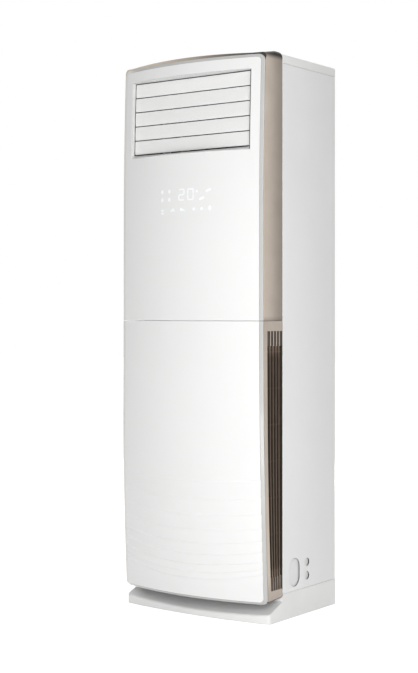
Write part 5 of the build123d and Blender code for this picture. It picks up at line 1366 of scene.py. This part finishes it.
rows = {GRILLE_HIGH, *SLOT_SPAN}
rows |= {GRILLE_LOW + step for step in (0.0, 0.0010, 0.0025, PAINTED_SHADE_FOOT, TUCK_HEIGHT)}
rows |= {GROOVE_SPAN[0] + step for step in (0.0, STEEP)}
rows |= {GROOVE_SPAN[1] - step for step in (0.0, STEEP)}
rows |= {SLOT_SPAN[0] + ROW_PITCH * i for i in range(41)}
rows = sorted(z for z in rows if z <= GRILLE_HIGH)
slot_rows = [z for z in rows if SLOT_SPAN[0] <= z <= SLOT_SPAN[1]]
for side, name in ((-1, "intake_grille_left"), (1, "intake_grille_right")):
    points, faces, painted_shade_faces, lands = [], [], [], []
    for z in rows:
        tuck = TUCK * max(1 - (z - GRILLE_LOW) / TUCK_HEIGHT, 0.0) ** 2
        points += [
            (side * (trim_x(y, flare(z)) - sink - tuck), y, foot_z(y, z))
            for y, sink in grille_columns(z)
        ]
    width = len(points) // len(rows)
    for i, j, corners in grid(width, len(rows)):
        middle = (rows[j] + rows[j + 1]) / 2
        slotted = 6 <= i < width - 3 and GROOVE_SPAN[0] < middle < GROOVE_SPAN[1]
        in_groove = slotted and (i - 6) % 4 != 3
        if 5 <= i < width - 3 and SLOT_SPAN[0] < middle < SLOT_SPAN[1]:
            continue
        # Lands between the lower grooves take the ribs' darker bronze as painted shade.
        if slotted and not in_groove and middle < SLOT_SPAN[0]:
            lands.append(len(faces))
        # Grooves, the rear strip and the lowest rows take the painted shade.
        if in_groove or i >= width - 3 or middle < GRILLE_LOW + PAINTED_SHADE_FOOT:
            painted_shade_faces.append(len(faces))
        faces.append(corners)
    face = piece(name + "_face", points, faces, grille_lacquer_painted_shade, "lower_door", "champagne", name)
    face.data.materials.append(grille_painted_shade)
    face.data.materials.append(rib_bronze_painted_shading)
    for slot, indices in ((1, painted_shade_faces), (2, lands)):
        for index in indices:
            face.data.polygons[index].material_index = slot
    thicken(face, TRIM_WALL, (side, 0, 0))
    soften(face, 0.0004)

    points, faces = [], []
    for rib in range(SLOT_COUNT - 1):
        loops = []
        for z in slot_rows:
            edges = slot_edges(z)
            middle = (edges[rib][1] + edges[rib + 1][0]) / 2
            loops.append([
                (side * (trim_x(middle + y, flare(z)) - depth), middle + y, z)
                for y, depth in (
                    (-RIB_HALF, GRILLE_DEPTH), (-RIB_HALF, 0.0014), (-RIB_HALF * 0.5, 0.0006),
                    (0.0, 0.0003), (RIB_HALF * 0.5, 0.0006), (RIB_HALF, 0.0014),
                    (RIB_HALF, GRILLE_DEPTH),
                )
            ])
        join(rings(loops), points, faces)
    for tie in range(-3, 4):
        z = TIE_MIDDLE + TIE_PITCH * tie
        loops = []
        for y in (slot_edges(z)[0][0], SLOT_REAR):
            loops.append([
                (side * (trim_x(y, flare(z)) - depth), y, z + rise)
                for depth, rise in (
                    (0.0062, -TIE_HALF * 0.6), (0.0062, TIE_HALF * 0.6), (0.0066, TIE_HALF),
                    (0.0095, TIE_HALF), (0.0095, -TIE_HALF), (0.0066, -TIE_HALF),
                )
            ])
        join(rings(loops), points, faces)
    piece(name + "_ribs", points, faces, rib_bronze_painted_shading, "lower_door", "champagne")

    # Return at the slots' rear edge, painted dark as shade.
    points, faces = rings([
        [(side * (trim_x(SLOT_REAR, flare(z)) - depth), y, z) for depth, y in (
            (0.0012, SLOT_REAR), (0.0012, SLOT_REAR + 0.0014), (0.0130, SLOT_REAR + 0.0014),
            (0.0130, SLOT_REAR),
        )]
        for z in SLOT_SPAN
    ])
    piece(name + "_return", points, faces, grille_painted_shade, "lower_door", "champagne")

# ---------------------------------------------------------------- camera and lights
# A level camera at the height of the unit's middle, to the right of its front.
# A tall soft lamp stands beside it, others light the foot, the back and the top, and the white
# room softens the shadows.
CAMERA_PLACE = (2.693, -3.7435, 0.975)
CAMERA_TURN = 0.6351
LENS = 73.70
SHIFT = -0.0336
LAMPS = (
    ("soft_lamp", (2.05, -2.46, 1.25), (1.5, 2.4), 59.0),
    ("foot_lamp", (1.15, -2.60, 0.28), (1.6, 0.4), 10.0),
    ("back_lamp", (-2.60, 3.60, 1.70), (2.0, 2.0), 90.0),
    ("top_lamp", (0.0, 0.70, 4.30), (2.0, 2.0), 24.0),
)
AIM_HIGH = 0.9
ROOM_LIGHT = 0.37
WHITE = (1, 1, 1, 1)

camera_data = bpy.data.cameras.new("camera")
camera = placed("camera", camera_data)
camera.location = CAMERA_PLACE
camera.rotation_euler = (math.pi / 2, 0, CAMERA_TURN)
camera_data.sensor_width = 36.0
camera_data.lens = LENS
camera_data.shift_y = SHIFT
camera_data.clip_end = 60.0
bpy.context.scene.camera = camera

for name, place, size, watts in LAMPS:
    lamp_data = bpy.data.lights.new(name, "AREA")
    lamp_data.shape = "RECTANGLE"
    lamp_data.size, lamp_data.size_y = size
    lamp_data.energy = watts
    lamp = placed(name, lamp_data)
    lamp.location = place
    aim = Vector((0, 0, min(place[2], AIM_HIGH))) - lamp.location
    lamp.rotation_euler = aim.to_track_quat("-Z", "Y").to_euler()

world = bpy.data.worlds.new("white_room")
bpy.context.scene.world = world
world.use_nodes = True
tree = world.node_tree
room = tree.nodes["Background"]
feed(tree, room, {"Color": WHITE, "Strength": ROOM_LIGHT})
seen = add_node(tree, "Background", {"Color": WHITE, "Strength": 1.0})
rays = add_node(tree, "LightPath").outputs
mirrored = larger(tree, rays["Is Glossy Ray"], rays["Is Transmission Ray"])
blend = add_node(tree, "MixShader", {
    "Fac": larger(tree, rays["Is Camera Ray"], mirrored),
    1: room.outputs["Background"], 2: seen.outputs["Background"],
})
feed(tree, tree.nodes["World Output"], {"Surface": blend.outputs["Shader"]})

# ---------------------------------------------------------------- floor
# A plain white studio floor that runs out of sight on all sides.
# It keeps the soft shadow of the plinth.
FLOOR_REACH = 20

floor_mesh = bpy.data.meshes.new("studio_floor")
floor_mesh.from_pydata(
    [(x * FLOOR_REACH, y * FLOOR_REACH, 0) for x, y in ((-1, -1), (1, -1), (1, 1), (-1, 1))],
    [], [(0, 1, 2, 3)],
)
studio_floor = placed("studio_floor", floor_mesh)
floor_white, tree, matt = new_material("studio_floor_white")
feed(tree, matt, {
    "Base Color": (0.85, 0.85, 0.85, 1), "Roughness": 0.9, "Specular IOR Level": 0.0,
})
rays = add_node(tree, "LightPath").outputs
glow = add_node(tree, "Emission", {
    "Color": (0.8, 0.8, 0.8, 1),
    "Strength": larger(tree, rays["Is Camera Ray"], rays["Is Glossy Ray"]),
})
both = add_node(tree, "AddShader", {0: matt.outputs["BSDF"], 1: glow.outputs["Emission"]})
feed(tree, tree.nodes["Material Output"], {"Surface": both.outputs["Shader"]})
floor_mesh.materials.append(floor_white)

bpy.context.scene.view_settings.view_transform = "Standard"
